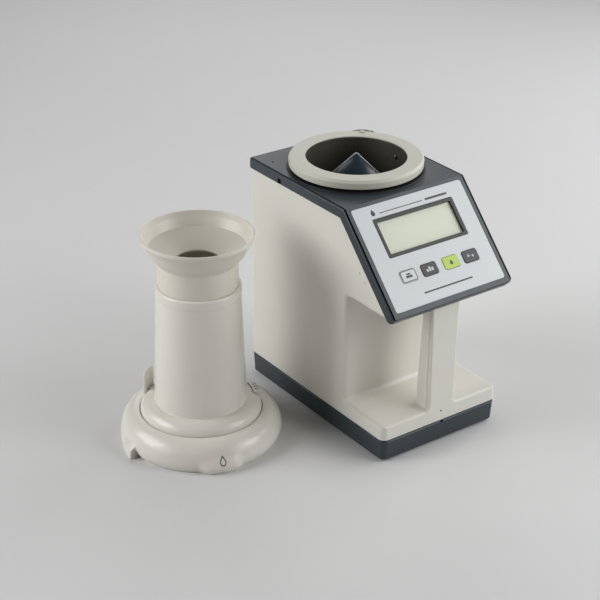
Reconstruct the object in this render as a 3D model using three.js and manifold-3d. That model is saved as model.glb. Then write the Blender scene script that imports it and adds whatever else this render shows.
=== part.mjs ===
// Benchtop grain moisture meter with its sample loader, in millimetres, +Z up.
// The meter stands on four feet: a navy base tray, a white housing with a deck, a grip post and a
// console, and a navy top cover that slopes down over the console and carries the display and keys.
// The measuring cell hangs in the cover on a load cell. The loader stands beside the meter.
// The origin is the centre of the footprint of both, on the table.
import * as THREE from 'three';
import { mergeVertices } from 'three/addons/utils/BufferGeometryUtils.js';
import Module from 'manifold-3d';

const wasm = await Module();
wasm.setup();

// ---------------------------------------------------------------- driving dimensions
const GAP = 0.3; // between neighbouring pieces
const WALL = 2.5; // moulded walls
const FAR = 400; // reach of a cutting tool past what it cuts
const ROUND = 28; // sides of the large round pieces
const SMALL_ROUND = 12; // sides of the small ones

const BODY = { width: 122.5, depth: 190, corner: 6, deckDepth: 53, deckTop: 34, consoleFloor: 132.4 };
const TRAY = { bottom: 1.9, top: 21, draft: 0.985 };
const COVER = { width: 125, top: 207.2, back: 190.3, ridge: 58.3, lipY: -9.5, lipZ: 136.6 };
const FLANGE = { height: 8.75, thick: 2.3 };
const GROOVE = { inner: 60.3, outer: 61.5, depth: 1.2 };
const GRIP = { halfWidth: 14.1, depth: 13.4, footWidth: 0.94, footDepth: 1.44, wall: 2.2, corner: 1.6 };
const CELL = { y: 122.4, bore: 42.5, rim: 56.6, top: 217.5, underside: 210, hole: 58.2 };
const ELECTRODE = { radius: 21, cone: 21.6, apex: 219.4, floor: 142, ridgeTurn: 141 };
const PANEL = { halfWidth: 56.5, top: 3, bottom: 92.6, recess: 0.8, thick: 0.5, corner: 2 };
const LCD = { halfWidth: 40.8, top: 15.2, bottom: 48.9, frame: 3.5 };
const KEY = { width: 15.5, height: 10.3, centre: 66.85, proud: 0.5, corner: 1.6, skirt: 1.2, foot: -4.3 };
const KEYS = { print_key: -31.2, average_key: -9.8, measure_key: 12.5, select_key: 33 };
const BOARD = { thick: 1.6, front: -8.4 };
const BASE_SCREWS = [[-50, 9], [50, 9], [-50, 181], [50, 181]];
const FEET = [[-48, 24], [48, 24], [-48, 166], [48, 166]];
const BEAM = { width: 12.7, front: 82, back: 163, bottom: 60 };
const DOOR = { halfWidth: 28.6, bottom: 37.4, top: 100.6, thick: 2.4, hingeY: 188.8, hingeZ: 38.6 };
const HOLDER = { halfWidth: 31, front: 168.5, back: 187.2, bottom: 35, top: 102, wall: 2.3 };
const BATTERY = { radius: 7.1, half: 24.6, nub: 2.7, pitch: 15, lowest: 46, y: 178.5 };
const SOCKET = { z: 122, halfWidth: 15.4, halfHeight: 6.2, screw: 12.5 };
const LOADER = { x: -153.25, y: 129.4, radius: 67.5, shoulder: 3, mouth: 51.5, mouthZ: 24.8, shelf: 9.8 };
const TUBE = { foot: 38.6, footZ: 35, head: 35.2, headZ: 139.6, wall: 2, bottom: 17.3, flange: 50.9 };
const BOWL = { rim: 46.3, top: 184, neck: 32.9, neckBottom: 127, throat: 19, throatZ: 160.5 };
const SHUTTER = { radius: 38, bottom: 12.8, thick: 2, hub: 4, windows: 4, window: 38, inner: 8, outer: 32 };
const TAB = { turn: 124, half: 11, inner: 47.6, outer: 50.2, top: 50, travel: 45 };
const LOADER_SCREWS = { radius: 44, turns: [20, 165, 275] };
const PAD = { turn: -108, radius: 22, reach: 4, top: 17 };
const LUG = { from: 162, to: 184.4, reach: 72.4, top: 11, notchWidth: 8.6, notchTop: 10 };
const CLIP = { inner: 44.3, outer: 50.6, from: -28, to: -6, bottom: 22, top: 34.4 };

// The footprint's centre, from the meter's own origin at the middle of its front edge.
const FOOTPRINT = {
  x: (LOADER.x - LUG.reach + COVER.width / 2) / 2,
  y: (COVER.lipY + LOADER.y + LOADER.radius) / 2,
};

// ---------------------------------------------------------------- materials
const plastic = (color, roughness) => new THREE.MeshStandardMaterial({ color, roughness, metalness: 0 });
const metal = (color, roughness) => new THREE.MeshStandardMaterial({ color, roughness, metalness: 1 });
const MATERIAL = {
  white: plastic(0xcdc9c0, 0.45),
  navy: plastic(0x35424b, 0.4),
  loader: plastic(0xd6d4cc, 0.35),
  ring: plastic(0xbebeb2, 0.4),
  black: plastic(0x15161a, 0.6),
  rubber: plastic(0x1c1c1e, 0.9),
  panel: plastic(0xc6cccc, 0.35),
  bezel: plastic(0x4a4b4d, 0.4),
  glass: plastic(0xccd0be, 0.1),
  whiteKey: plastic(0xe4e4e0, 0.4),
  greyKey: plastic(0x55585c, 0.4),
  greenKey: plastic(0xb0cd50, 0.4),
  board: plastic(0x1f5a35, 0.6),
  chip: plastic(0x2a2a2c, 0.5),
  battery: plastic(0x2b2e38, 0.35),
  steel: metal(0xb8babc, 0.35),
  aluminium: metal(0xc2c4c6, 0.4),
  electrode: metal(0x6d6b64, 0.35),
  cone: plastic(0x1c2933, 0.2),
};

// ---------------------------------------------------------------- closed geometry
const rad = THREE.MathUtils.degToRad;

// Six times the signed volume: only its sign is used.
function signedVolume(positions, index) {
  const [a, b, c] = [new THREE.Vector3(), new THREE.Vector3(), new THREE.Vector3()];
  let sum = 0;
  for (let i = 0; i < index.length; i += 3) {
    a.fromBufferAttribute(positions, index[i]);
    b.fromBufferAttribute(positions, index[i + 1]);
    c.fromBufferAttribute(positions, index[i + 2]);
    sum += a.dot(b.cross(c));
  }
  return sum;
}

// Positions only, welded, without collapsed triangles and with the faces turned outwards.
function closed(geometry) {
  geometry.deleteAttribute('normal');
  geometry.deleteAttribute('uv');
  const welded = mergeVertices(geometry, 1e-4);
  const index = [];
  for (let i = 0; i < welded.index.count; i += 3) {
    const [a, b, c] = [0, 1, 2].map((k) => welded.index.getX(i + k));
    if (a !== b && b !== c && c !== a) index.push(a, b, c);
  }
  if (signedVolume(welded.attributes.position, index) < 0) index.reverse();
  welded.setIndex(index);
  return welded;
}

function toSolid(geometry) {
  const vertProperties = new Float32Array(geometry.attributes.position.array);
  const triVerts = new Uint32Array(geometry.index.array);
  return new wasm.Manifold(new wasm.Mesh({ numProp: 3, vertProperties, triVerts }));
}

function toGeometry(solid) {
  const made = solid.getMesh();
  const geometry = new THREE.BufferGeometry();
  geometry.setAttribute('position', new THREE.BufferAttribute(new Float32Array(made.vertProperties), 3));
  geometry.setIndex(new THREE.BufferAttribute(new Uint32Array(made.triVerts), 1));
  return geometry;
}

const combine = (how) => (first, ...others) =>
  toGeometry(others.map(toSolid).reduce((solid, other) => solid[how](other), toSolid(first)));
const join = combine('add');
const cut = combine('subtract');
const common = combine('intersect');

// ---------------------------------------------------------------- simple shapes
function box([x0, x1], [y0, y1], [z0, z1]) {
  const geometry = new THREE.BoxGeometry(x1 - x0, y1 - y0, z1 - z0);
  return closed(geometry.translate((x0 + x1) / 2, (y0 + y1) / 2, (z0 + z1) / 2));
}

const outline = (points) => new THREE.Shape(points.map(([x, y]) => new THREE.Vector2(x, y)));

function roundedRect([x0, x1], [y0, y1], r) {
  const shape = new THREE.Shape();
  shape.absarc(x1 - r, y1 - r, r, 0, Math.PI / 2);
  shape.absarc(x0 + r, y1 - r, r, Math.PI / 2, Math.PI);
  shape.absarc(x0 + r, y0 + r, r, Math.PI, 1.5 * Math.PI);
  shape.absarc(x1 - r, y0 + r, r, 1.5 * Math.PI, 2 * Math.PI);
  return shape;
}

// A slice of a ring between two radii, turned to the given middle angle.
function sector(inner, outer, middle, width) {
  const [from, to] = [rad(middle - width / 2), rad(middle + width / 2)];
  const shape = new THREE.Shape();
  shape.absarc(0, 0, outer, from, to, false);
  shape.absarc(0, 0, inner, to, from, true);
  return shape;
}

function extrudeZ(shape, [z0, z1], curveSegments = 3) {
  const geometry = new THREE.ExtrudeGeometry(shape, { depth: z1 - z0, bevelEnabled: false, curveSegments });
  return closed(geometry.translate(0, 0, z0));
}

// A side profile drawn in (y, z), run across the width.
function extrudeX(shape, halfWidth) {
  const geometry = new THREE.ExtrudeGeometry(shape, {
    depth: 2 * halfWidth,
    bevelEnabled: false,
    curveSegments: 3,
  });
  const [x, y, z] = [new THREE.Vector3(0, 1, 0), new THREE.Vector3(0, 0, 1), new THREE.Vector3(1, 0, 0)];
  geometry.applyMatrix4(new THREE.Matrix4().makeBasis(x, y, z));
  return closed(geometry.translate(-halfWidth, 0, 0));
}

// A profile of [radius, height] points turned about Z. It closes on the axis or on itself.
function turned(profile, sides = ROUND) {
  const onAxis = profile[0][0] === 0;
  const points = onAxis ? profile : [...profile, profile[0]];
  const geometry = new THREE.LatheGeometry(points.map(([r, z]) => new THREE.Vector2(r, z)), sides);
  return closed(geometry.rotateX(Math.PI / 2));
}

const rod = (radius, [z0, z1], sides = SMALL_ROUND) =>
  turned([[0, z0], [radius, z0], [radius, z1], [0, z1]], sides);
const ring = (inner, outer, [z0, z1], sides = ROUND) =>
  turned([[inner, z0], [outer, z0], [outer, z1], [inner, z1]], sides);
const moved = (geometry, x, y, z = 0) => geometry.clone().translate(x, y, z);
const polar = (radius, degrees) => [radius * Math.cos(rad(degrees)), radius * Math.sin(rad(degrees))];

// Points on a quarter ellipse about [cr, cz], from angle a to angle b.
function arc([cr, cz], rr, rz, a, b, steps) {
  return Array.from({ length: steps + 1 }, (_, i) => {
    const turn = rad(a + ((b - a) * i) / steps);
    return [cr + rr * Math.cos(turn), cz + rz * Math.sin(turn)];
  });
}

function part(name, geometry, material) {
  const mesh = new THREE.Mesh(geometry, material);
  mesh.name = name;
  return mesh;
}

// ---------------------------------------------------------------- the slope of the cover
const slope = new THREE.Vector2(COVER.ridge - COVER.lipY, COVER.top - COVER.lipZ);
const SLOPE_TURN = slope.angle();
slope.normalize();

// The point this far up the slope from the lip, and this far in under its surface.
const onSlope = (up, inset) => [
  COVER.lipY + slope.x * up + slope.y * inset,
  COVER.lipZ + slope.y * up - slope.x * inset,
];

// Where the slope and the top meet, both moved in by the same inset.
function underRidge(inset) {
  return [COVER.ridge + (inset * (1 - slope.x)) / slope.y, COVER.top - inset];
}

// Pieces on the slope are drawn in its own frame: x across, y up the slope, z out of it.
function placeOnSlope(object) {
  object.position.set(0, COVER.ridge, COVER.top);
  object.rotation.x = SLOPE_TURN;
  return object;
}

function slopeTool(geometry) {
  const frame = placeOnSlope(new THREE.Object3D());
  frame.updateMatrix();
  return geometry.clone().applyMatrix4(frame.matrix);
}

// ---------------------------------------------------------------- base
function baseTray() {
  const half = BODY.width / 2;
  const plan = roundedRect([-half, half], [0, BODY.depth], BODY.corner);
  const shell = drafted(extrudeZ(plan, [TRAY.bottom, TRAY.top]));
  const hollow = extrudeZ(
    roundedRect([-half + WALL, half - WALL], [WALL, BODY.depth - WALL], BODY.corner / 2),
    [TRAY.bottom + WALL, FAR],
  );
  const bosses = BASE_SCREWS.map(([x, y]) => moved(rod(5, [TRAY.bottom + 1, TRAY.top - 0.1]), x, y));
  const bores = BASE_SCREWS.map(([x, y]) => moved(rod(1.9, [-1, FAR]), x, y));
  const heads = BASE_SCREWS.map(([x, y]) => moved(rod(3.6, [-1, 14]), x, y));
  const footHoles = FEET.map(([x, y]) => moved(rod(2.5, [-1, TRAY.top]), x, y));
  const pad = box([-14, 14], [139, 165], [TRAY.bottom + 1, TRAY.bottom + WALL + 0.5]);
  const floor = join(cut(shell, hollow), pad, ...bosses);
  return part('base_tray', cut(floor, ...bores, ...heads, ...footHoles), MATERIAL.navy);
}

// The tray narrows slightly towards the table.
function drafted(geometry) {
  const place = geometry.attributes.position;
  const middle = BODY.depth / 2;
  for (let i = 0; i < place.count; i++) {
    const share = (TRAY.top - place.getZ(i)) / (TRAY.top - TRAY.bottom);
    const scale = 1 - (1 - TRAY.draft) * share;
    place.setX(i, place.getX(i) * scale);
    place.setY(i, middle + (place.getY(i) - middle) * scale);
  }
  return geometry;
}

function foot(name, [x, y]) {
  const floor = TRAY.bottom + WALL;
  const profile = [[0, 0], [6.2, 0], [6.8, 0.6], [6.8, TRAY.bottom - 0.2], [2, TRAY.bottom - 0.2],
    [2, floor + 0.4], [3.2, floor + 0.4], [2, floor + 3.5], [0, floor + 3.5]];
  const mesh = part(name, turned(profile, SMALL_ROUND), MATERIAL.rubber);
  mesh.position.set(x, y, 0);
  return mesh;
}

function screw(name, [x, y], head, [headBottom, headTop], shank, tip) {
  const geometry = join(rod(head, [headBottom, headTop]), rod(shank, [headTop - 0.1, tip], 8));
  const slot = box([-head - 1, head + 1], [-0.4, 0.4], [headBottom - 1, headBottom + 0.7]);
  const mesh = part(name, cut(geometry, slot), MATERIAL.steel);
  mesh.position.set(x, y, 0);
  return mesh;
}

// ---------------------------------------------------------------- housing
function housingSide() {
  const { depth, deckDepth, deckTop, consoleFloor } = BODY;
  const shoulder = FLANGE.height + GAP;
  const [frontY] = slopeAtHeight(consoleFloor, shoulder);
  const shape = new THREE.Shape();
  shape.moveTo(0, TRAY.top + GAP);
  shape.lineTo(depth, TRAY.top + GAP);
  shape.lineTo(depth, COVER.top - shoulder);
  shape.lineTo(...underRidge(shoulder));
  shape.lineTo(frontY, consoleFloor);
  shape.lineTo(deckDepth, consoleFloor);
  shape.lineTo(deckDepth, deckTop + 3);
  shape.absarc(deckDepth - 3, deckTop + 3, 3, 0, -Math.PI / 2, true);
  shape.lineTo(2, deckTop);
  shape.absarc(2, deckTop - 2, 2, Math.PI / 2, Math.PI, false);
  return shape;
}

// The point at a height on the slope moved in by an inset.
function slopeAtHeight(z, inset) {
  const up = (z - COVER.lipZ + slope.x * inset) / slope.y;
  return onSlope(up, inset);
}

function gripPost(inset, [z0, z1]) {
  const side = GRIP.halfWidth - inset;
  const column = extrudeZ(roundedRect([-side, side], [inset, GRIP.depth - inset], GRIP.corner), [z0, z1]);
  return gripTaper(column);
}

// The post is wider at the top and deeper at the foot.
function gripTaper(geometry) {
  const place = geometry.attributes.position;
  for (let i = 0; i < place.count; i++) {
    const share = (BODY.consoleFloor - place.getZ(i)) / (BODY.consoleFloor - BODY.deckTop);
    place.setX(i, place.getX(i) * (1 + (GRIP.footWidth - 1) * share));
    place.setY(i, place.getY(i) * (1 + (GRIP.footDepth - 1) * share));
  }
  return geometry;
}

function gripGrooves() {
  const [inner, outer] = [GRIP.halfWidth - 0.6, GRIP.halfWidth + 3];
  const span = [BODY.deckTop + 1, BODY.consoleFloor - 0.5];
  return [[-outer, -inner], [inner, outer]].map((x) => gripTaper(box(x, [2.2, 3], span)));
}

function mainHousing() {
  const half = BODY.width / 2;
  const inner = half - WALL;
  const lipWidth = COVER.width / 2 - FLANGE.thick - GAP;
  const plan = extrudeZ(roundedRect([-half, half], [0, BODY.depth], BODY.corner), [0, FAR]);
  const consolePlan = box([-half, half], [-20, 30], [BODY.consoleFloor - 1, FAR]);
  const outer = common(extrudeX(housingSide(), half), join(plan, consolePlan));
  const lip = extrudeX(outline([
    slopeAtHeight(BODY.consoleFloor, FLANGE.height + 0.2),
    [BODY.depth - 4, BODY.consoleFloor],
    [BODY.depth - 4, COVER.top - WALL - 0.6],
    underRidge(WALL + 0.6),
    onSlope(WALL + 0.6, WALL + 0.6),
  ]), lipWidth);
  const hollow = extrudeX(outline([
    [WALL, 0], [BODY.depth - WALL, 0], [BODY.depth - WALL, FAR], [-30, FAR],
    [-30, BODY.consoleFloor + WALL], [BODY.deckDepth + WALL, BODY.consoleFloor + WALL],
    [BODY.deckDepth + WALL, BODY.deckTop - WALL], [WALL, BODY.deckTop - WALL],
  ]), inner);
  const bosses = BASE_SCREWS.map(([x, y]) => {
    const top = y < BODY.deckDepth ? BODY.deckTop - 1 : 44;
    const boss = moved(rod(4.5, [TRAY.top + GAP, top]), x, y);
    const side = x < 0 ? [-half + 1, x] : [x, half - 1];
    const web = box(side, [y - 1.2, y + 1.2], [TRAY.top + GAP, top]);
    return cut(join(boss, web), moved(rod(1.8, [0, top - 3]), x, y));
  });
  const post = gripPost(0, [BODY.deckTop - 2, BODY.consoleFloor + 1]);
  const solid = join(cut(join(outer, lip), hollow), post, ...bosses);
  const doorway = box(
    [-DOOR.halfWidth - 0.4, DOOR.halfWidth + 0.4],
    [BODY.depth - WALL - 5, FAR],
    [DOOR.bottom - 0.8, DOOR.top + 0.4],
  );
  const socketHole = box(
    [-SOCKET.halfWidth - GAP, SOCKET.halfWidth + GAP],
    [BODY.depth - WALL - 5, FAR],
    [SOCKET.z - SOCKET.halfHeight - GAP, SOCKET.z + SOCKET.halfHeight + GAP],
  );
  const pinHole = rod(0.9, [-5, 5], 12).rotateX(Math.PI / 2);
  return part(
    'main_housing',
    cut(
      solid,
      gripPost(GRIP.wall, [TRAY.top, BODY.consoleFloor + WALL + 2]),
      ...gripGrooves(),
      doorway,
      socketHole,
      ...hingeSockets(),
      moved(pinHole, 0, 0, 30),
    ),
    MATERIAL.white,
  );
}

// ---------------------------------------------------------------- top cover
function coverProfile(inset, drop) {
  return outline([
    onSlope(inset, inset),
    underRidge(inset),
    [COVER.back - inset, COVER.top - inset],
    [COVER.back - inset, COVER.top - drop],
    underRidge(drop),
    onSlope(inset, drop),
  ]);
}

function coverGrooves() {
  const band = outline([
    onSlope(-1, GROOVE.depth), underRidge(GROOVE.depth), [COVER.back + 1, COVER.top - GROOVE.depth / 2],
    [COVER.back + 1, COVER.top + 5], [COVER.ridge - 4, COVER.top + 5], onSlope(-1, -5),
  ]);
  const width = GROOVE.outer - GROOVE.inner;
  const middle = (GROOVE.outer + GROOVE.inner) / 2;
  return [-middle, middle].map((x) => moved(extrudeX(band, width / 2), x, 0));
}

function topCover() {
  const plan = extrudeZ(
    roundedRect([-COVER.width / 2, COVER.width / 2], [COVER.lipY, COVER.back], 3),
    [100, FAR],
  );
  const outer = common(extrudeX(coverProfile(0, FLANGE.height), COVER.width / 2), plan);
  const hollow = extrudeX(coverProfile(WALL, FLANGE.height + 30), COVER.width / 2 - FLANGE.thick);
  const sheet = slopeRect(PANEL.halfWidth + GAP, PANEL.top - GAP, PANEL.bottom + GAP, PANEL.corner);
  const recess = slopeTool(extrudeZ(sheet, [-PANEL.recess, 5]));
  const lcdHole = slopeTool(extrudeZ(lcdOpening(), [-9, 5]));
  const keyHoles = Object.values(KEYS).map((x) => slopeTool(moved(keyBlock(GAP, [-9, 5]), x, -KEY.centre)));
  const cellHole = moved(rod(CELL.hole, [COVER.top - 12, FAR], ROUND), 0, CELL.y);
  const edge = COVER.width / 2 - 1;
  const notches = [[-edge - 5, -edge], [edge, edge + 5]].map((x) => box(x, [142.4, 147], [199.2, 203]));
  return part(
    'top_cover',
    cut(outer, hollow, recess, lcdHole, ...keyHoles, cellHole, ...coverGrooves(), ...notches),
    MATERIAL.navy,
  );
}

const slopeRect = (halfWidth, top, bottom, corner) =>
  roundedRect([-halfWidth, halfWidth], [-bottom, -top], corner);
const lcdOpening = () => slopeRect(LCD.halfWidth + GAP, LCD.top - GAP, LCD.bottom + GAP, 1);

// ---------------------------------------------------------------- panel, display and keys
function keyBlock(gap, span) {
  const [w, h] = [KEY.width / 2 + gap, KEY.height / 2 + gap];
  return extrudeZ(roundedRect([-w, w], [-h, h], KEY.corner + gap), span, 2);
}

function panelSheet() {
  const { halfWidth, top, bottom, corner, recess, thick } = PANEL;
  const floor = -recess + GAP;
  const sheet = extrudeZ(slopeRect(halfWidth, top, bottom, corner), [floor, floor + thick]);
  const lcdHole = extrudeZ(lcdOpening(), [-5, 5]);
  const keyHoles = Object.values(KEYS).map((x) => moved(keyBlock(GAP, [-5, 5]), x, -KEY.centre));
  return part('panel_sheet', cut(sheet, lcdHole, ...keyHoles), MATERIAL.panel);
}

function lcdBezel() {
  const { halfWidth, top, bottom, frame } = LCD;
  const outer = extrudeZ(slopeRect(halfWidth, top, bottom, 1), [-2.6, 0.1]);
  const window = extrudeZ(slopeRect(halfWidth - frame, top + frame, bottom - frame, 0.6), [-5, 5]);
  return part('lcd_bezel', cut(outer, window), MATERIAL.bezel);
}

function lcdGlass() {
  const { halfWidth, top, bottom, frame } = LCD;
  const inset = frame + GAP;
  const pane = extrudeZ(slopeRect(halfWidth - inset, top + inset, bottom - inset, 0.5), [-2.2, -1.1]);
  return part('lcd_glass', pane, MATERIAL.glass);
}

function displayModule() {
  const body = box([-44, 44], [-51, -13], [-7.6, -4]);
  const face = box([-38, 38], [-47.5, -17], [-4.1, -2.9]);
  return part('display_module', join(body, face), MATERIAL.steel);
}

function keyBoard() {
  const board = box([-50, 50], [-76, -10], [BOARD.front - BOARD.thick, BOARD.front]);
  return part('key_board', board, MATERIAL.board);
}

function keySwitch(name, x) {
  const body = box([-3, 3], [-3, 3], [BOARD.front + GAP, BOARD.front + 2.4]);
  const stem = rod(1.6, [BOARD.front + 2.3, KEY.foot - 0.8], 12);
  const mesh = part(name, join(body, stem), MATERIAL.chip);
  mesh.position.set(x, -KEY.centre, 0);
  return mesh;
}

function key(name, x) {
  const colour = { print_key: MATERIAL.whiteKey, measure_key: MATERIAL.greenKey }[name] ?? MATERIAL.greyKey;
  const [w, h] = [KEY.width / 2 + KEY.skirt, KEY.height / 2 + KEY.skirt];
  const skirt = extrudeZ(roundedRect([-w, w], [-h, h], KEY.corner), [KEY.foot, KEY.foot + 1], 1);
  const mesh = part(name, join(keyBlock(0, [KEY.foot + 0.5, KEY.proud]), skirt), colour);
  mesh.position.set(x, -KEY.centre, 0);
  return mesh;
}

// ---------------------------------------------------------------- inside the meter
function mainBoard() {
  const board = box([48, 49.6], [62, 150], [40, 120]);
  const chips = [[70, 88, 84, 104], [100, 122, 60, 78], [128, 142, 96, 110]].map(([y0, y1, z0, z1]) =>
    box([45.8, 48.1], [y0, y1], [z0, z1]));
  return part('main_board', join(board, ...chips), MATERIAL.board);
}

function loadCellPost() {
  const post = box([-12, 12], [141, 163], [TRAY.bottom + WALL + 0.8, BEAM.bottom - GAP]);
  const window = box([-7, 7], [130, 170], [14, 50]);
  return part('load_cell_post', cut(post, window), MATERIAL.aluminium);
}

function loadCellBeam() {
  const half = BEAM.width / 2;
  const bar = box([-half, half], [BEAM.front, BEAM.back], [BEAM.bottom, BEAM.bottom + BEAM.width]);
  const middle = (BEAM.front + BEAM.back) / 2;
  const bore = rod(4.6, [-20, 20], 16).rotateY(Math.PI / 2);
  const height = BEAM.bottom + half;
  const slot = box([-20, 20], [middle - 8, middle + 8], [height - 1, height + 1]);
  const bores = [-8, 8].map((dy) => moved(bore, 0, middle + dy, height));
  return part('load_cell_beam', cut(bar, slot, ...bores), MATERIAL.aluminium);
}

function dustRing() {
  const profile = [[50, 202], [57.9, 202], [57.9, 207.9], [50, 207.9]];
  return part('dust_ring', turned(profile), MATERIAL.black);
}

function batteryHolder() {
  const { halfWidth, front, back, bottom, top, wall } = HOLDER;
  const shell = box([-halfWidth, halfWidth], [front, back], [bottom, top]);
  const pocket = box([-halfWidth + wall, halfWidth - wall], [front + wall, FAR], [bottom + wall, top - wall]);
  return part('battery_holder', cut(shell, pocket), MATERIAL.black);
}

function battery(name, row) {
  const { radius, half, nub, pitch, lowest, y } = BATTERY;
  const profile = [[0, -half], [radius - 0.4, -half], [radius, -half + 0.4], [radius, half - 0.4],
    [radius - 0.4, half], [nub, half], [nub, half + 1.1], [0, half + 1.1]];
  const mesh = part(name, turned(profile, SMALL_ROUND), MATERIAL.battery);
  mesh.rotation.y = row % 2 ? Math.PI / 2 : -Math.PI / 2;
  mesh.position.set(0, y, lowest + pitch * row);
  return mesh;
}

function batteryContacts(name, side) {
  const { pitch, lowest, y } = BATTERY;
  const plate = box([27.7, 28.4], [y - 6, y + 6], [lowest - 6, lowest + 3 * pitch + 6]);
  const bumps = [0, 1, 2, 3].map((row) =>
    moved(rod(3.2, [26.1, 27.8], 8).rotateY(Math.PI / 2), 0, y, lowest + pitch * row));
  const mesh = part(name, join(plate, ...bumps), MATERIAL.steel);
  mesh.geometry.translate(0, -y, 0);
  mesh.position.y = y;
  mesh.rotation.z = side > 0 ? 0 : Math.PI;
  return mesh;
}

// The door snaps in by two short trunnions at its lower corners.
function trunnion(radius, x0, x1) {
  return moved(rod(radius, [x0, x1], 16).rotateY(Math.PI / 2), 0, DOOR.hingeY, DOOR.hingeZ);
}

const hingeSockets = () => [
  trunnion(1.25, DOOR.halfWidth - 1, DOOR.halfWidth + 2.2),
  trunnion(1.25, -DOOR.halfWidth - 2.2, -DOOR.halfWidth + 1),
];

function batteryDoor() {
  const { halfWidth, bottom, top, thick, hingeZ } = DOOR;
  const back = BODY.depth;
  const plate = box([-halfWidth, halfWidth], [back - thick, back], [hingeZ, top]);
  const barrel = trunnion(back - DOOR.hingeY, -halfWidth, halfWidth);
  const pins = [[halfWidth - 1, halfWidth + 1.8], [-halfWidth - 1.8, -halfWidth + 1]].map(([x0, x1]) =>
    trunnion(0.9, x0, x1));
  const grips = [0, 1, 2].map((i) => box([-10, 10], [back - 0.7, FAR], [top - 6 - 3 * i, top - 4.6 - 3 * i]));
  return part('battery_door', cut(join(plate, barrel, ...pins), ...grips), MATERIAL.white);
}

function serialSocket() {
  const { z, halfWidth, halfHeight, screw: screwX } = SOCKET;
  const back = BODY.depth;
  const flange = box([-halfWidth, halfWidth], [back - 2.2, back - 0.6], [z - halfHeight, z + halfHeight]);
  const shell = box([-8.4, 8.4], [back - 12, back + 4.6], [z - 4.2, z + 4.2]);
  const pocket = box([-7.6, 7.6], [back - 1, FAR], [z - 3.4, z + 3.4]);
  const holes = [-screwX, screwX].map((x) => moved(rod(1.9, [-20, 20], 12).rotateX(Math.PI / 2), x, back, z));
  return part('serial_socket', cut(join(flange, shell), pocket, ...holes), MATERIAL.steel);
}

function socketScrew(name, x) {
  const nut = rod(2.5, [0, 4.6], 6);
  const shank = rod(1.5, [-6, 0.1], 12);
  const mesh = part(name, cut(join(nut, shank), rod(1.2, [1.5, 9], 12)), MATERIAL.steel);
  mesh.rotation.x = -Math.PI / 2;
  mesh.position.set(x, BODY.depth - 0.3, SOCKET.z);
  return mesh;
}

// ---------------------------------------------------------------- measuring cell
function cellRim() {
  const { bore, rim, top, underside } = CELL;
  const skirt = bore + 1.9;
  const profile = [[bore, 213.5], [bore, top - 0.5], [bore + 0.5, top], [rim - 2.6, top], [rim, top - 2.4],
    [rim, underside], [skirt + 2, underside], [skirt + 2, 200], [skirt, 200], [skirt, 213.5]];
  const pegHole = moved(rod(1.6, [top - 3, FAR], 12), ...RIM_PEG);
  return part('cell_rim', cut(turned(profile), pegHole, sensorPort()), MATERIAL.ring);
}

const RIM_PEG = polar(CELL.rim - 4.2, 47);

function rimPeg() {
  const top = CELL.top;
  const profile = [[0, top - 2.6], [1.3, top - 2.6], [1.3, top + 0.3], [1.7, top + 0.3], [1.7, top + 1],
    [1.2, top + 1.5], [0, top + 1.5]];
  const mesh = part('rim_peg', turned(profile, 8), MATERIAL.ring);
  mesh.position.set(...RIM_PEG, 0);
  return mesh;
}

function cellWall() {
  const wall = ring(CELL.bore, CELL.bore + 1.5, [136, 213.2]);
  return part('cell_wall', cut(wall, sensorPort()), MATERIAL.electrode);
}

const SENSOR_Z = 206;
const sensorPort = () => moved(rod(2.6, [30, 49]).rotateY(Math.PI / 2), 0, 0, SENSOR_Z);

function temperatureSensor() {
  const { bore } = CELL;
  const head = [[0, bore - 1.6], [1.4, bore - 1.4], [2.3, bore - 0.3], [2.3, bore + 4.8], [0, bore + 4.8]];
  const mesh = part('temperature_sensor', turned(head, SMALL_ROUND), MATERIAL.steel);
  mesh.geometry.rotateY(Math.PI / 2);
  mesh.position.z = SENSOR_Z;
  return mesh;
}

const cellFloor = () => part('cell_floor', ring(8, CELL.bore - GAP, [138, ELECTRODE.floor]), MATERIAL.black);

function centreElectrode() {
  const { radius, floor } = ELECTRODE;
  const top = 198.7;
  const profile = [[0, 132], [7.7, 132], [7.7, floor + GAP], [radius, floor + GAP], [radius, top],
    [radius - 1.5, top], [radius - 1.5, floor + 2.3], [0, floor + 2.3]];
  return part('centre_electrode', turned(profile, 24), MATERIAL.electrode);
}

function centreCone() {
  const { radius, cone, apex, ridgeTurn } = ELECTRODE;
  const seat = 199;
  const body = turned([[0, 190], [radius - 1.8, 190], [radius - 1.8, seat], [cone, seat], [0, apex]], 24);
  const ridge = extrudeX(outline([[-cone - 0.7, seat], [cone + 0.7, seat], [0.5, apex], [-0.5, apex]]), 0.5);
  const blade = ridge.rotateZ(rad(ridgeTurn - 90));
  return part('centre_cone', join(body, blade), MATERIAL.cone);
}

function cellCarrier() {
  const seat = CELL.bore + 1.8;
  const profile = [[13, 92], [15.5, 92], [15.5, 125], [seat + 2.2, 125], [seat + 2.2, 150], [seat, 150],
    [seat, 135.7], [36, 135.7], [36, 127.5], [13, 127.5]];
  return part('cell_carrier', turned(profile), MATERIAL.aluminium);
}

function sensorBoard() {
  const disc = ring(9, 35.4, [129, 130.6], 24);
  return part('sensor_board', disc, MATERIAL.board);
}

function cellBracket() {
  const plate = box([-16, 16], [84, 140], [87.7, 91.7]);
  const spacer = box([-11, 11], [84, 102], [BEAM.bottom + BEAM.width + 1, 88]);
  return part('cell_bracket', moved(join(plate, spacer), 0, -CELL.y), MATERIAL.aluminium);
}

// ---------------------------------------------------------------- loader
const skirtDome = (inset, from, to, steps) =>
  arc([LOADER.mouth + 1.4 - inset / 2, LOADER.shoulder], LOADER.radius - LOADER.mouth - 1.4 - inset / 2,
    LOADER.mouthZ - LOADER.shoulder - inset, from, to, steps);

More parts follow.
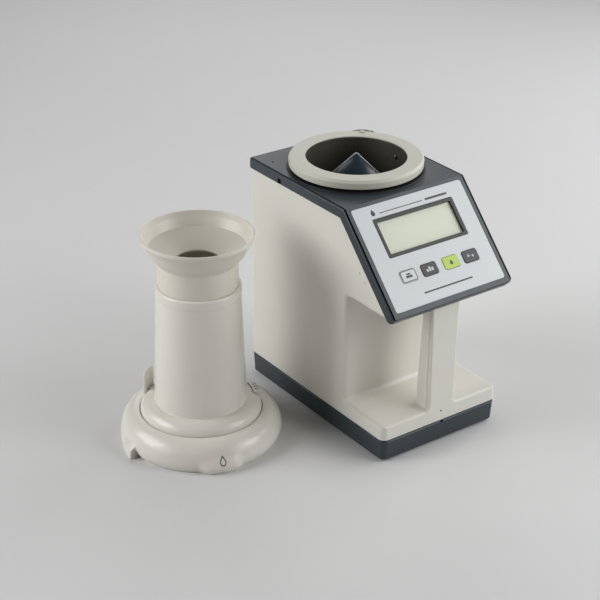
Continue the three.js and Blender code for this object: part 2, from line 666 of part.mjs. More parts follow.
const atLoaderScrews = (tool) =>
  LOADER_SCREWS.turns.map((turn) => moved(tool, ...polar(LOADER_SCREWS.radius, turn)));

function loaderBase() {
  const { radius, shoulder, mouth, mouthZ, shelf } = LOADER;
  const thick = 2.6;
  const tuck = 3;
  const inside = skirtDome(thick, 90, 29, 3);
  const [shelfR, shelfTop] = inside[inside.length - 1];
  const collar = 57.2;
  const profile = [[radius - tuck, 0], [radius - 0.6, shoulder], ...skirtDome(0, 12, 90, 6), [mouth, mouthZ],
    ...inside,
    [SHUTTER.outer + 2, shelfTop], [SHUTTER.outer + 2, shelf], [collar, shelf], [collar, 4], [collar + 2, 4],
    [collar + 2, shelf], [shelfR - 0.2, shelf], [radius - thick, shoulder + 1], [radius - thick - tuck, 0]];
  const inner = turned([[0, -5], [radius - thick - tuck, -5], [radius - thick - tuck, 0],
    [radius - thick, shoulder + 1], [shelfR - 0.2, shelf], [shelfR, shelfTop], [mouth, mouthZ - thick],
    [0, mouthZ - thick]]);
  const bump = turned([[0, 0], [PAD.radius, 0], [PAD.radius, 2], [PAD.radius - 1.5, 10], [17, PAD.top],
    [0, PAD.top]], 24);
  const thumbPad = cut(moved(bump, ...polar(radius + PAD.reach - PAD.radius, PAD.turn)), inner);
  const lugPlan = sector(radius - thick - tuck, LUG.reach, (LUG.from + LUG.to) / 2, LUG.to - LUG.from);
  const lug = cut(extrudeZ(lugPlan, [0, LUG.top], 4), inner);
  const holes = atLoaderScrews(rod(1.7, [0, 20]));
  const body = join(turned(profile), thumbPad, lug);
  return part('loader_base', cut(body, lugNotch(), ...holes), MATERIAL.loader);
}

// The finger notch at the near end of the lug, its top rising towards the lug.
function lugNotch() {
  const { to, notchWidth, notchTop } = LUG;
  const wedge = extrudeX(outline([[0, -2], [notchWidth, -2], [0, notchTop]]), 10);
  return moved(wedge, LOADER.radius, 0).rotateZ(rad(to));
}

function windows(middle) {
  const { inner, outer, window } = SHUTTER;
  return Array.from({ length: SHUTTER.windows }, (_, i) =>
    extrudeZ(sector(inner, outer, middle + (i * 360) / SHUTTER.windows, window), [0, 40], 4));
}

function outletPlate() {
  const bottom = SHUTTER.bottom + SHUTTER.thick + 0.4;
  const disc = rod(SHUTTER.radius, [bottom, TUBE.bottom - GAP], ROUND);
  const hub = rod(SHUTTER.hub - GAP, [SHUTTER.bottom, bottom + 0.5]);
  return part('outlet_plate', join(cut(disc, ...windows(TAB.turn)), hub), MATERIAL.loader);
}

function shutterDisc() {
  const { bottom, thick, radius, hub } = SHUTTER;
  const span = [bottom, bottom + thick];
  const disc = rod(radius, span, ROUND);
  const arm = extrudeZ(sector(radius - 4, TAB.outer, TAB.turn, 16), span, 3);
  const half = 180 / SHUTTER.windows;
  const solid = cut(join(disc, arm), rod(hub, [0, 40]), ...windows(TAB.turn + half));
  return part('shutter_disc', solid, MATERIAL.black);
}

function shutterTab() {
  const foot = SHUTTER.bottom + SHUTTER.thick + GAP;
  const { turn, half, inner, outer, top } = TAB;
  const plate = extrudeZ(sector(inner, outer, turn, 2 * half), [foot, top - 4], 4);
  const head = extrudeZ(sector(inner, outer, turn, 2 * half - 8), [top - 5, top], 4);
  const sole = extrudeZ(sector(inner - 4, outer, turn, 14), [foot, foot + 2], 3);
  return part('shutter_tab', join(plate, head, sole), MATERIAL.loader);
}

function sampleTube() {
  const { foot, footZ, head, headZ, wall, bottom, flange } = TUBE;
  const dome = arc([foot + 1.5, 24.6], flange - foot - 1.5, 9.4, 0, 80, 4);
  const profile = [[foot - wall, bottom], [foot, bottom], [foot, 19.5], [flange, 19.5], ...dome,
    [foot + 0.5, footZ], [foot - 0.1, footZ + 3], [head + 0.1, headZ - 3.4], [head + 0.6, headZ - 2.8],
    [head + 0.6, headZ - 1.2], [head - 0.4, headZ], [head - wall, headZ], [head - wall + 0.3, headZ - 15]];
  const posts = atLoaderScrews(rod(3.4, [SHUTTER.bottom, 25]));
  const bores = atLoaderScrews(rod(1.5, [0, 25]));
  const sweep = 2 * TAB.half + TAB.travel + 4;
  const slot = extrudeZ(sector(TAB.inner - 0.8, 60, TAB.turn - TAB.travel / 2, sweep), [10, 40], 8);
  const clipPlan = sector(CLIP.inner - GAP, 60, (CLIP.from + CLIP.to) / 2, CLIP.to - CLIP.from + 1);
  const seat = extrudeZ(clipPlan, [CLIP.bottom - GAP, 40], 2);
  return part('sample_tube', cut(join(turned(profile), ...posts), ...bores, slot, seat), MATERIAL.loader);
}

function tubeClip() {
  const middle = (CLIP.from + CLIP.to) / 2;
  const plan = sector(CLIP.inner, CLIP.outer, middle, CLIP.to - CLIP.from);
  const block = extrudeZ(plan, [CLIP.bottom, CLIP.top], 4);
  const slots = [-5, 0, 5].map((turn) =>
    extrudeZ(sector(CLIP.inner + 1.6, 60, middle + turn, 2.4), [CLIP.bottom + 5, 40], 1));
  return part('tube_clip', cut(block, ...slots), MATERIAL.loader);
}

function funnel() {
  const { rim, top, neck, neckBottom, throat, throatZ } = BOWL;
  const outside = arc([neck - 0.3, top - 4], rim - neck - 0.5, 19, -80, -6, 5);
  const inside = arc([36, top - 2], rim - 37.6, 11, -4, -66, 3);
  const bore = neck - TUBE.wall;
  const profile = [[bore, neckBottom], [neck, neckBottom], [neck - 0.3, top - 24], ...outside, [rim, top - 3],
    [rim, top], [rim - 1.4, top], ...inside, [throat, throatZ], [throat, throatZ - 1.6],
    [throat + 1.4, throatZ - 1.6], [bore, throatZ + 4.6]];
  return part('funnel', turned(profile), MATERIAL.loader);
}

// ---------------------------------------------------------------- assembly
function panelGroup() {
  const group = placeOnSlope(new THREE.Group());
  group.add(panelSheet(), lcdBezel(), lcdGlass(), displayModule(), keyBoard());
  Object.entries(KEYS).forEach(([name, x], i) =>
    group.add(key(name, x), keySwitch(`key_switch_${i + 1}`, x)));
  return group;
}

function cellGroup() {
  const group = new THREE.Group();
  group.position.y = CELL.y;
  group.add(cellRim(), rimPeg(), cellWall(), cellFloor(), centreElectrode(), centreCone());
  group.add(temperatureSensor(), cellCarrier(), sensorBoard(), cellBracket(), dustRing());
  return group;
}

function meter() {
  const group = new THREE.Group();
  group.add(baseTray(), mainHousing(), topCover(), panelGroup(), cellGroup(), mainBoard());
  group.add(loadCellPost(), loadCellBeam(), batteryHolder(), batteryDoor(), serialSocket());
  FEET.forEach((place, i) => group.add(foot(`foot_${i + 1}`, place)));
  BASE_SCREWS.forEach((place, i) =>
    group.add(screw(`base_screw_${i + 1}`, place, 3, [11.4, 13.7], 1.4, 30)));
  [0, 1, 2, 3].forEach((row) => group.add(battery(`battery_${row + 1}`, row)));
  group.add(batteryContacts('battery_contacts_left', -1), batteryContacts('battery_contacts_right', 1));
  [-SOCKET.screw, SOCKET.screw].forEach((x, i) => group.add(socketScrew(`socket_screw_${i + 1}`, x)));
  return group;
}

function loader() {
  const group = new THREE.Group();
  group.position.set(LOADER.x, LOADER.y, 0);
  group.add(loaderBase(), outletPlate(), shutterDisc(), shutterTab(), sampleTube(), tubeClip(), funnel());
  LOADER_SCREWS.turns.forEach((turn, i) => {
    const place = polar(LOADER_SCREWS.radius, turn);
    group.add(screw(`loader_screw_${i + 1}`, place, 2.8, [7.4, LOADER.shelf - GAP], 1.2, 23));
  });
  return group;
}

const assembly = new THREE.Group();
const placed = new THREE.Group();
placed.position.set(-FOOTPRINT.x, -FOOTPRINT.y, 0);
placed.add(meter(), loader());
assembly.add(placed);

export default assembly;
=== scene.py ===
from math import atan2, cos, hypot, pi, radians, sin, sqrt, tan

import bmesh
import bpy
from mathutils import Matrix, Vector

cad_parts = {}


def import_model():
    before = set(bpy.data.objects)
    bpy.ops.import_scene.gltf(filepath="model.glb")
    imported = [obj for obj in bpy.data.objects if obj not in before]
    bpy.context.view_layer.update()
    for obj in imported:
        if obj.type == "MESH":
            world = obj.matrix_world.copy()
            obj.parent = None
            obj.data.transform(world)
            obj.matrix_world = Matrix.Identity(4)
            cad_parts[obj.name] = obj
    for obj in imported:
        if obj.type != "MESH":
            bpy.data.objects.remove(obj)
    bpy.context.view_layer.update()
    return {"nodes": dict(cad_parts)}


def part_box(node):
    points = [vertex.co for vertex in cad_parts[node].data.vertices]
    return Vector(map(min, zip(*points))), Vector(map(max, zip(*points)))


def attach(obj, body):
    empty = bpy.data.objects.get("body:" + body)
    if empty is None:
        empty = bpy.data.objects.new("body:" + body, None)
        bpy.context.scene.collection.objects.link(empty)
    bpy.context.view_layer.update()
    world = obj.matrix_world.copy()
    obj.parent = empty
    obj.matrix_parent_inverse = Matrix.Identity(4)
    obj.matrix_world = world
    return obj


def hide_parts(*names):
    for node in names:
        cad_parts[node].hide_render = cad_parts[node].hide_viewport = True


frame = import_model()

MM = 0.001


# -------------------- places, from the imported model
def middle(node):
    low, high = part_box(node)
    return (low + high) / (2 * MM)


ORIGIN = Vector((middle("base_tray").x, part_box("base_tray")[0].y / MM, 0))
TO_ROW = Matrix.Scale(MM, 4) @ Matrix.Translation(ORIGIN)


def span(node):
    low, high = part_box(node)
    return low / MM - ORIGIN, high / MM - ORIGIN


def at(x, y, z=0.0):
    return Matrix.Translation((x, y, z))


METER = Matrix.Identity(4)
CELL = at(*(middle("cell_rim") - ORIGIN).xy)
LOADER = at(*(middle("funnel") - ORIGIN).xy)
SIDE = Matrix(((0, 0, 1, 0), (1, 0, 0, 0), (0, 1, 0, 0), (0, 0, 0, 1)))  # (y, z) profiles run along x
BACK = Matrix(((-1, 0, 0, 0), (0, 0, 1, 0), (0, 1, 0, 0), (0, 0, 0, 1)))  # (-x, z) plans run along y
ALONG_X = Matrix.Rotation(pi / 2, 4, "Y")
ALONG_Y = Matrix.Rotation(-pi / 2, 4, "X")

# -------------------- driving sizes, as in the CAD
GAP = 0.3
WALL = 2.5
SIDES = 160
FAR = 300.0  # past the whole object, for shapes that only cut
THROUGH = 60.0  # the same for a single piece and its bores

TRAY_LOW, TRAY_HIGH = span("base_tray")
HALF_BODY, DEPTH, CORNER = TRAY_HIGH.x, TRAY_HIGH.y, 6.0
DECK, DECK_DEPTH, CONSOLE = 34.0, 53.0, 132.4
SIDE_DOTS = ((36.4, 160.0), (30.3, 154.4))
GRIP_HALF, GRIP_DEPTH, GRIP_WALL, FLARE = 14.1, 13.4, 2.2, 3.0
GRIP_NARROWS, GRIP_DEEPENS = 0.06, 0.44
BASE_SCREWS = [(-50, 9), (50, 9), (-50, 181), (50, 181)]
FEET = [(-48, 24), (48, 24), (-48, 166), (48, 166)]

COVER_LOW, COVER_HIGH = span("top_cover")
HALF_COVER = COVER_HIGH.x
TOP, BACK_Y, LIP_Y = COVER_HIGH.z, COVER_HIGH.y, COVER_LOW.y
RIDGE_Y, LIP_Z = 58.3, 136.6
FLANGE, FLANGE_WALL = 8.75, 2.3
SHOULDER = FLANGE + GAP
COVER_FRONT, COVER_BACK_LEFT, COVER_BACK_RIGHT = 4.5, 3.5, 13
CELL_HOLE = 58.2
NOTCH_Y, NOTCH_Z = (142.2, 147.2), (199.0, 203.2)
DIMPLE_X, DIMPLE_Y = 51.5, 169.7
SLOPE_TURN = atan2(TOP - LIP_Z, RIDGE_Y - LIP_Y)
UP_Y, UP_Z = cos(SLOPE_TURN), sin(SLOPE_TURN)
SLOPE = at(0, RIDGE_Y, TOP) @ Matrix.Rotation(SLOPE_TURN, 4, "X")
LIP = -hypot(TOP - LIP_Z, RIDGE_Y - LIP_Y)  # the slope's lower end, in its own frame

PANEL_HALF, PANEL_TOP, PANEL_END = 56.5, -3.0, -92.6
LCD_HALF, LCD_TOP, LCD_END, LCD_FRAME = 40.8, -15.2, -48.9, 2.9
KEY_HALF_W, KEY_HALF_H, KEY_ROW, KEY_CORNER = 7.75, 5.15, -66.85, 2.0
KEY_X = {"print": -31.2, "average": -9.8, "measure": 12.5, "select": 33.0}

HINGE_Y, HINGE_Z, HINGE_PIN = 188.8, 38.6, 30.4
DOOR_HALF = 28.6
BATTERY, BATTERY_HALF, BATTERY_PITCH, BATTERY_LOW, BATTERY_Y = 7.1, 24.6, 15.0, 46.0, 178.5
SOCKET_Z, SOCKET_SCREW, SOCKET_HALF, SOCKET_RISE = 122.0, 12.5, 8.4, 4.2

BORE, RIM, RIM_TOP, RIM_UNDER = 42.5, 56.6, 217.5, 210.0
CELL_FLOOR, ELECTRODE = 142.0, 21.0
# The cone's pale blades are turned square to the view, onto its outline, where they paint its edge
# highlights.
CONE, CONE_SEAT, APEX, HIGHLIGHT_TURN = 21.6, 199.0, 219.4, 141
PEG_TURN, PEG_REACH, SENSOR_Z = 47, RIM - 4.2, 206.0

SKIRT, WIDEST_Z, MOUTH, MOUTH_Z, SHELF = 67.5, 8, 51.5, 24.8, 9.8
ROLL_UNDER, ROLL_DROP, ROLL_OVER = 10, 11.2, 14.6  # the skirt's ellipses below and above its widest
PAD_TURN, PAD_SWELL = -108, 4.2
LUG_NEAR, LUG_FAR, LUG_REACH = 184.4, 146.0, 72.3
SHUTTER, SHUTTER_LOW, SHUTTER_HUB, WINDOW = 38.0, 12.8, 4.0, 38
WINDOW_INNER, WINDOW_OUTER, ARM_REACH = 8, 32, 50.2
TAB_TURN, TAB_REACH, TAB_TOP = 124, 48.9, 50.0
CLIP_FROM, CLIP_TO, CLIP_INNER, CLIP_REACH = -28, -6, 44.3, 50.6
LOADER_SCREWS, SCREW_REACH = [20, 165, 275], 44

LAMP_DISTANCE, LAMP_SIZE = 1.5, (1.0, 0.9)
AIM_HEIGHT = 0.09
CAMERA_PLACE = (-0.76018, -0.84555, 0.71588)
CAMERA_YAW, CAMERA_PITCH, CAMERA_ROLL = 36.009, 27.2935, 0.4796
FOCAL_LENGTH = 95.34


# -------------------- outlines
def outline(corners, inset=0.0, steps=8):
    """Points along an anticlockwise outline of corners (x, y, radius), moved inwards by inset."""
    points = []
    for i, corner in enumerate(corners):
        before, here, after = (Vector(corners[(i + k) % len(corners)][:2]) for k in (-1, 0, 1))
        u, w = (here - before).normalized(), (after - here).normalized()
        turn = atan2(u.x * w.y - u.y * w.x, u.dot(w))
        across_u, across_w = Vector((-u.y, u.x)), Vector((-w.y, w.x))
        vertex = here + (across_u + across_w) * inset / (1 + across_u.dot(across_w))
        side = 1 if turn > 0 else -1
        radius = max(corner[2] - side * inset, 0.0) if corner[2] else 0.0
        start = vertex - u * radius * tan(abs(turn) / 2)
        centre = start + across_u * side * radius
        arm = start - centre
        for k in range(steps + 1):
            a = turn * k / steps
            points.append(centre + Vector((arm.x * cos(a) - arm.y * sin(a), arm.x * sin(a) + arm.y * cos(a))))
    return points


def rect(x0, x1, y0, y1, radius=0.0):
    return [(x0, y0, radius), (x1, y0, radius), (x1, y1, radius), (x0, y1, radius)]


def circle(radius, count):
    turns = [2 * pi * i / count for i in range(count)]
    return [(radius * cos(a), radius * sin(a), 0) for a in turns]


def polar(radius, degrees):
    return radius * cos(radians(degrees)), radius * sin(radians(degrees))


def arc(centre, rr, rz, start, end, steps):
    """Corners along an elliptical arc, for turned profiles."""
    turns = [radians(start + (end - start) * k / steps) for k in range(steps + 1)]
    return [(centre[0] + rr * cos(a), centre[1] + rz * sin(a), 0) for a in turns]


def sector(inner, outer, middle_turn, width, corner=0.0):
    """A slice of a ring about the axis."""
    steps = max(4, round(width / 3))
    out = arc((0, 0), outer, outer, middle_turn - width / 2, middle_turn + width / 2, steps)
    back = arc((0, 0), inner, inner, middle_turn + width / 2, middle_turn - width / 2, steps)
    for points in (out, back):
        points[0] = (*points[0][:2], corner)
        points[-1] = (*points[-1][:2], corner)
    return out + back


# -------------------- solids
def from_bmesh(bm, name="solid"):
    bmesh.ops.remove_doubles(bm, verts=bm.verts, dist=1e-4)
    bmesh.ops.dissolve_degenerate(bm, edges=bm.edges, dist=1e-4)
    bmesh.ops.recalc_face_normals(bm, faces=bm.faces)
    mesh = bpy.data.meshes.new(name)
    bm.to_mesh(mesh)
    bm.free()
    made = bpy.data.objects.new(name, mesh)
    bpy.context.scene.collection.objects.link(made)
    return made


def edited(made, change):
    """Runs a bmesh change on a solid."""
    bm = bmesh.new()
    bm.from_mesh(made.data)
    change(bm)
    bmesh.ops.recalc_face_normals(bm, faces=bm.faces)
    bm.to_mesh(made.data)
    bm.free()
    return made


def loft(rings, place=METER):
    """A closed solid through rings of points, each with the same number of them."""
    bm = bmesh.new()
    rows = [[bm.verts.new(place @ Vector(p)) for p in ring] for ring in rings]
    count = len(rows[0])
    for low, high in zip(rows, rows[1:]):
        for i in range(count):
            bm.faces.new((low[i], low[(i + 1) % count], high[(i + 1) % count], high[i]))
    bm.faces.new(rows[0])
    bm.faces.new(rows[-1])
    return from_bmesh(bm)


def rim_levels(end, edge, way=1, steps=4):
    """(height, inset) pairs that round a rim, from its end face. Way is 1 at the bottom and -1 on top."""
    turns = [pi / 2 * k / steps for k in range(steps + 1)]
    return [(end + way * edge * (1 - cos(a)), edge * (1 - sin(a))) for a in turns]


def slab(corners, low, high, edge=0.0, edge_high=None, place=METER, steps=8):
    """An outline given thickness, with rounded rims."""
    edge_high = edge if edge_high is None else edge_high
    levels = rim_levels(low, edge) + rim_levels(high, edge_high, -1)[::-1]
    rings = [[(p.x, p.y, height) for p in outline(corners, inset, steps)] for height, inset in levels]
    return loft(rings, place)


def turned(corners, place=METER, sides=SIDES, steps=5, swell=None, grow=0.0):
    """A profile of (radius, height, rounding) corners turned about the axis, with an optional swelling."""
    points = outline(corners, -grow, steps)
    bm = bmesh.new()
    rows = []
    for i in range(sides):
        a = 2 * pi * i / sides
        reach = [max(r, 0) + (swell(a, r, z) if swell else 0) for r, z in points]
        spots = [Vector((r * cos(a), r * sin(a), p[1])) for r, p in zip(reach, points)]
        rows.append([bm.verts.new(place @ spot) for spot in spots])
    for i in range(sides):
        one, two = rows[i], rows[(i + 1) % sides]
        for k in range(len(points)):
            m = (k + 1) % len(points)
            if points[k][0] > 1e-6 or points[m][0] > 1e-6:
                bm.faces.new((one[k], one[m], two[m], two[k]))
    return from_bmesh(bm)


def rod(radius, low, high, place=METER, edge=0.0, sides=40):
    return turned([(0, low, 0), (radius, low, edge), (radius, high, edge), (0, high, 0)], place, sides)


def split(bm, place, normal):
    """Adds edges where a plane crosses the mesh."""
    everything = bm.verts[:] + bm.edges[:] + bm.faces[:]
    bmesh.ops.bisect_plane(bm, geom=everything, plane_co=place, plane_no=normal)


def bent(made, radius, turn, place):
    """Wraps a flat plate (x along, y up, z out) round the axis, at a radius and a turn."""
    low = min(v.co.x for v in made.data.vertices)
    high = max(v.co.x for v in made.data.vertices)
    strips = 24

    def wrap(bm):
        for i in range(1, strips):
            split(bm, (low + (high - low) * i / strips, 0, 0), (1, 0, 0))
        for v in bm.verts:
            a = radians(turn) + v.co.x / radius
            reach = radius + v.co.z
            v.co = place @ Vector((reach * cos(a), reach * sin(a), v.co.y))
    return edited(made, wrap)


def combined(target, operation, tools):
    """The target with the tools joined to it, cut from it or kept in common with it."""
    for tool in tools:
        step = target.modifiers.new("step", "BOOLEAN")
        step.operation = operation
        step.solver = "MANIFOLD"
        step.object = tool
    graph = bpy.context.evaluated_depsgraph_get()
    mesh = bpy.data.meshes.new_from_object(target.evaluated_get(graph))
    target.modifiers.clear()
    target.data = mesh
    for tool in tools:
        bpy.data.objects.remove(tool)
    return target


def cut(target, *tools):
    return combined(target, "DIFFERENCE", tools)


def join(target, *tools):
    return combined(target, "UNION", tools)


def common(target, *tools):
    return combined(target, "INTERSECT", tools)


# -------------------- finishing a piece
SHARP = radians(36)


def shade(made):
    def smooth(bm):
        for face in bm.faces:
            face.smooth = True
        for edge in bm.edges:
            edge.smooth = len(edge.link_faces) == 2 and edge.calc_face_angle(0) < SHARP
    return edited(made, smooth)


def soften_edges(made, width):
    bevel = made.modifiers.new("soften", "BEVEL")
    bevel.width = width * MM
    bevel.segments = 2
    bevel.limit_method = "ANGLE"
    bevel.angle_limit = SHARP
    bevel.harden_normals = True


def piece(made, name, body, material, nodes=(), soften=0.0):
    """Names a solid, moves it to the row frame, shades it, ties it to its body, and hides the CAD nodes it
    stands in for.
    """
    made.name = name
    made.data.name = name
    made.data.transform(TO_ROW)
    made.data.materials.clear()
    made.data.materials.append(material)
    shade(made)
    if soften:
        soften_edges(made, soften)
    weighted = made.modifiers.new("shading", "WEIGHTED_NORMAL")
    weighted.keep_sharp = True
    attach(made, body)
    if nodes:
        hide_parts(*nodes)


def kept(node, material, soften=0.3):
    """A CAD node shown as it is, with its edges softened and its own finish."""
    made = frame["nodes"][node]
    made.data.materials.clear()
    made.data.materials.append(material)
    soften_edges(made, soften)


# -------------------- materials
def srgb(r, g, b):
    def linear(v):
        v /= 255
        return v / 12.92 if v <= 0.04045 else ((v + 0.055) / 1.055) ** 2.4
    return (linear(r), linear(g), linear(b), 1.0)


def scaled(colour, share):
    return tuple(min(c * share, 1.0) for c in colour[:3]) + (1.0,)


class Finish:
    """A material under construction, with the few nodes these finishes are made of."""

    def __init__(self, name, stretch=(1, 1, 1)):
        self.material = bpy.data.materials.new(name)
        self.material.use_nodes = True
        self.nodes = self.material.node_tree.nodes
        self.links = self.material.node_tree.links
        self.shader = self.nodes["Principled BSDF"]
        mapping = self.nodes.new("ShaderNodeMapping")
        mapping.inputs["Scale"].default_value = stretch
        self.links.new(self.nodes.new("ShaderNodeTexCoord").outputs["Object"], mapping.inputs["Vector"])
        self.place = mapping.outputs["Vector"]

    def noise(self, scale, detail=2.0, rough=0.5):
        node = self.nodes.new("ShaderNodeTexNoise")
        node.inputs["Scale"].default_value = scale
        node.inputs["Detail"].default_value = detail
        node.inputs["Roughness"].default_value = rough
        self.links.new(self.place, node.inputs["Vector"])
        return node.outputs["Fac"]

    def remap(self, value, low, high, start=0.1, end=0.9):
        node = self.nodes.new("ShaderNodeMapRange")
        node.interpolation_type = "SMOOTHSTEP"
        for name, number in (("From Min", start), ("From Max", end), ("To Min", low), ("To Max", high)):
            node.inputs[name].default_value = number
        self.links.new(value, node.inputs["Value"])
        return node.outputs["Result"]

    def tint(self, fac, dark, light):
        node = self.nodes.new("ShaderNodeMix")
        node.data_type = "RGBA"
        colours = [s for s in node.inputs if s.type == "RGBA"]
        for entry, colour in zip(colours, (dark, light)):
            if isinstance(colour, tuple):
                entry.default_value = colour
            else:
                self.links.new(colour, entry)
        self.links.new(fac, node.inputs[0])
        return next(s for s in node.outputs if s.type == "RGBA")

    def edges(self, radius):
        """1 along the edges of a piece, within about this radius in mm, and 0 on its faces."""
        bevel = self.nodes.new("ShaderNodeBevel")
        bevel.samples = 3
        bevel.inputs["Radius"].default_value = radius * MM
        dot = self.nodes.new("ShaderNodeVectorMath")
        dot.operation = "DOT_PRODUCT"
        self.links.new(bevel.outputs["Normal"], dot.inputs[0])
        self.links.new(self.nodes.new("ShaderNodeNewGeometry").outputs["Normal"], dot.inputs[1])
        return self.remap(dot.outputs["Value"], 1, 0, 0.86, 0.995)

    def bump(self, height, distance):
        node = self.nodes.new("ShaderNodeBump")
        node.inputs["Distance"].default_value = distance
        self.links.new(height, node.inputs["Height"])
        self.links.new(node.outputs["Normal"], self.shader.inputs["Normal"])

    def set(self, socket, value):
        if hasattr(value, "links"):
            self.links.new(value, self.shader.inputs[socket])
        else:
            self.shader.inputs[socket].default_value = value


def moulded(name, colour, rough, grain=0.02, vary=0.04, edges_paler=1.1, scale=900):
    """Moulded plastic: a fine eroded grain, slight clouding of colour and gloss, edges painted paler: rubbed
    wear, and on the navy also a painted highlight.
    """
    made = Finish(name)
    cloud = made.remap(made.noise(14), 0, 1)
    body = made.tint(cloud, scaled(colour, 1 - vary), scaled(colour, 1 + vary / 2))
    made.set("Base Color", made.tint(made.edges(0.6), body, scaled(colour, edges_paler)) if edges_paler != 1 else body)
    made.set("Roughness", made.remap(made.noise(30), rough - 0.05, rough + 0.05))
    made.bump(made.noise(scale, 3, 0.6), grain * MM)
    return made.material


def turned_metal(name, colour, rough, metallic=1.0):
    """Metal with fine rings left by turning, and brighter edges."""
    made = Finish(name, (1, 1, 40))
    rings = made.noise(45, 3, 0.7)
    body = made.tint(made.remap(rings, 0, 1), scaled(colour, 0.8), scaled(colour, 1.15))
    made.set("Base Color", made.tint(made.edges(0.4), body, scaled(colour, 1.3)))
    made.set("Roughness", made.remap(rings, rough - 0.06, rough + 0.08))
    made.set("Metallic", metallic)
    made.bump(rings, 0.01 * MM)
    return made.material


def speckled(name, dark, light, rough, scale=260.0):
    """Rubber, solder mask and other uneven matt surfaces."""
    made = Finish(name)
    spots = made.noise(scale, 5, 0.65)
    made.set("Base Color", made.tint(made.remap(spots, 0, 1), dark, light))
    made.set("Roughness", made.remap(spots, rough - 0.06, rough + 0.06))
    made.bump(spots, 0.03 * MM)
    return made.material


def clear_sheet(name, colour, see_through, rough):
    """A clear window: mostly seen through, with a glossy face and the faintest haze."""
    made = Finish(name)
    made.set("Base Color", made.tint(made.remap(made.noise(60, 3), 0, 1), scaled(colour, 0.97), colour))
    made.set("Roughness", made.remap(made.noise(90, 3), rough, rough + 0.04))
    made.set("Alpha", see_through)
    return made.material


WHITE = moulded("white_plastic", srgb(219, 217, 208), 0.42, grain=0.03)
# The navy's edges are painted 1.6 times paler: partly rubbed wear, partly a painted highlight along them.
NAVY = moulded("navy_plastic", srgb(46, 56, 63), 0.36, grain=0.03, vary=0.07, edges_paler=1.6)
LOADER_WHITE = moulded("loader_plastic", srgb(224, 221, 212), 0.21, grain=0.006, vary=0.025, edges_paler=1.05)
# A warmer, darker copy of the loader plastic for the funnel: its darkening is painted shade.
SHADED_FUNNEL_WHITE = moulded("funnel_plastic_painted_shade", srgb(217, 212, 201), 0.34, grain=0.006, vary=0.025, edges_paler=1.05)
RING = moulded("ring_plastic", srgb(204, 203, 191), 0.5, grain=0.012, edges_paler=1.06)
BLACK = moulded("black_plastic", srgb(22, 23, 26), 0.5, grain=0.04, vary=0.1, edges_paler=1.5)
FILM = moulded("panel_film", srgb(212, 218, 220), 0.34, grain=0.008, vary=0.02, edges_paler=1.0)
BEZEL = moulded("bezel_plastic", srgb(38, 38, 38), 0.45, edges_paler=1.2)
WHITE_KEY = moulded("white_key", srgb(214, 219, 219), 0.36, grain=0.008, vary=0.02, edges_paler=1.0)
GREY_KEY = moulded("grey_key", srgb(42, 41, 44), 0.4, grain=0.008, edges_paler=1.15)
GREEN_KEY = moulded("green_key", srgb(184, 214, 82), 0.36, grain=0.008, vary=0.03, edges_paler=1.05)
INK = moulded("printed_ink", srgb(48, 50, 54), 0.42, grain=0.004, edges_paler=1.0)
PALE_INK = moulded("pale_ink", srgb(205, 208, 210), 0.42, grain=0.004, edges_paler=1.0)
RUBBER = speckled("foot_rubber", srgb(20, 20, 22), srgb(34, 34, 36), 0.8)
MASK = speckled("circuit_board", srgb(22, 74, 42), srgb(36, 104, 62), 0.42, 120)
CHIP = speckled("switch_plastic", srgb(30, 30, 32), srgb(46, 46, 48), 0.5)
SLEEVE = moulded("battery_sleeve", srgb(44, 48, 62), 0.34, grain=0.004)
BAND = moulded("battery_band", srgb(196, 150, 70), 0.34, grain=0.004)
STEEL = turned_metal("steel", srgb(196, 198, 200), 0.28)
ALUMINIUM = turned_metal("aluminium", srgb(200, 202, 204), 0.36)
CELL_METAL = turned_metal("electrode_metal", srgb(98, 96, 88), 0.42, 0.7)
SENSOR_METAL = turned_metal("sensor_metal", srgb(120, 120, 118), 0.4)
CONE_NAVY = moulded("cone_plastic", srgb(34, 47, 55), 0.34, grain=0.004, vary=0.08, edges_paler=1.0)
# Pale blades on the dark cone: painted highlights along the cone's outline.
CONE_HIGHLIGHT_PAINT = moulded("cone_painted_highlight", srgb(186, 190, 192), 0.35, grain=0.004, edges_paler=1.0)
DISPLAY = moulded("display_film", srgb(232, 236, 217), 0.42, grain=0.004, vary=0.015, edges_paler=1.0)
GLASS = clear_sheet("display_glass", srgb(224, 230, 220), 0.07, 0.04)


# -------------------- base
def base_tray():
    """The navy tray, a little narrower towards the table, with a shadow step under the housing."""
    low, high = TRAY_LOW.z, TRAY_HIGH.z
    draft, step, rounding, chamfer, thick = 1.0, 1.2, 1.2, 0.4, 3.8
    plan = rect(-HALF_BODY, HALF_BODY, 0, DEPTH, CORNER)
    levels = [(height, inset + draft) for height, inset in rim_levels(low, rounding)]
    levels += [(high - step - 0.5, 0.02), (high - step, chamfer), (high - step, step), (high, step)]
    rings = [[(p.x, p.y, z) for p in outline(plan, inset, 10)] for z, inset in levels]
    inner = rect(-HALF_BODY + thick, HALF_BODY - thick, thick, DEPTH - thick, CORNER - 3)
    tray = cut(loft(rings), slab(inner, low + WALL, THROUGH))
    post, bore, head, head_seat, stem = 5, 1.9, 3.6, 14, 2.5
    tray = join(tray, *(rod(post, low + 1, high - 0.1, at(x, y)) for x, y in BASE_SCREWS))
    holes = [rod(bore, -1, THROUGH, at(x, y)) for x, y in BASE_SCREWS]
    holes += [rod(head, -1, head_seat, at(x, y)) for x, y in BASE_SCREWS]
    holes += [rod(stem, -1, THROUGH / 2, at(x, y)) for x, y in FEET]
    pry_slot = slab(rect(0.2, 2.8, -2, 1.6), high - 3.0, high + 1)
    piece(cut(tray, *holes, pry_slot), "tray_shell", "meter", NAVY, ["base_tray"], 0.2)


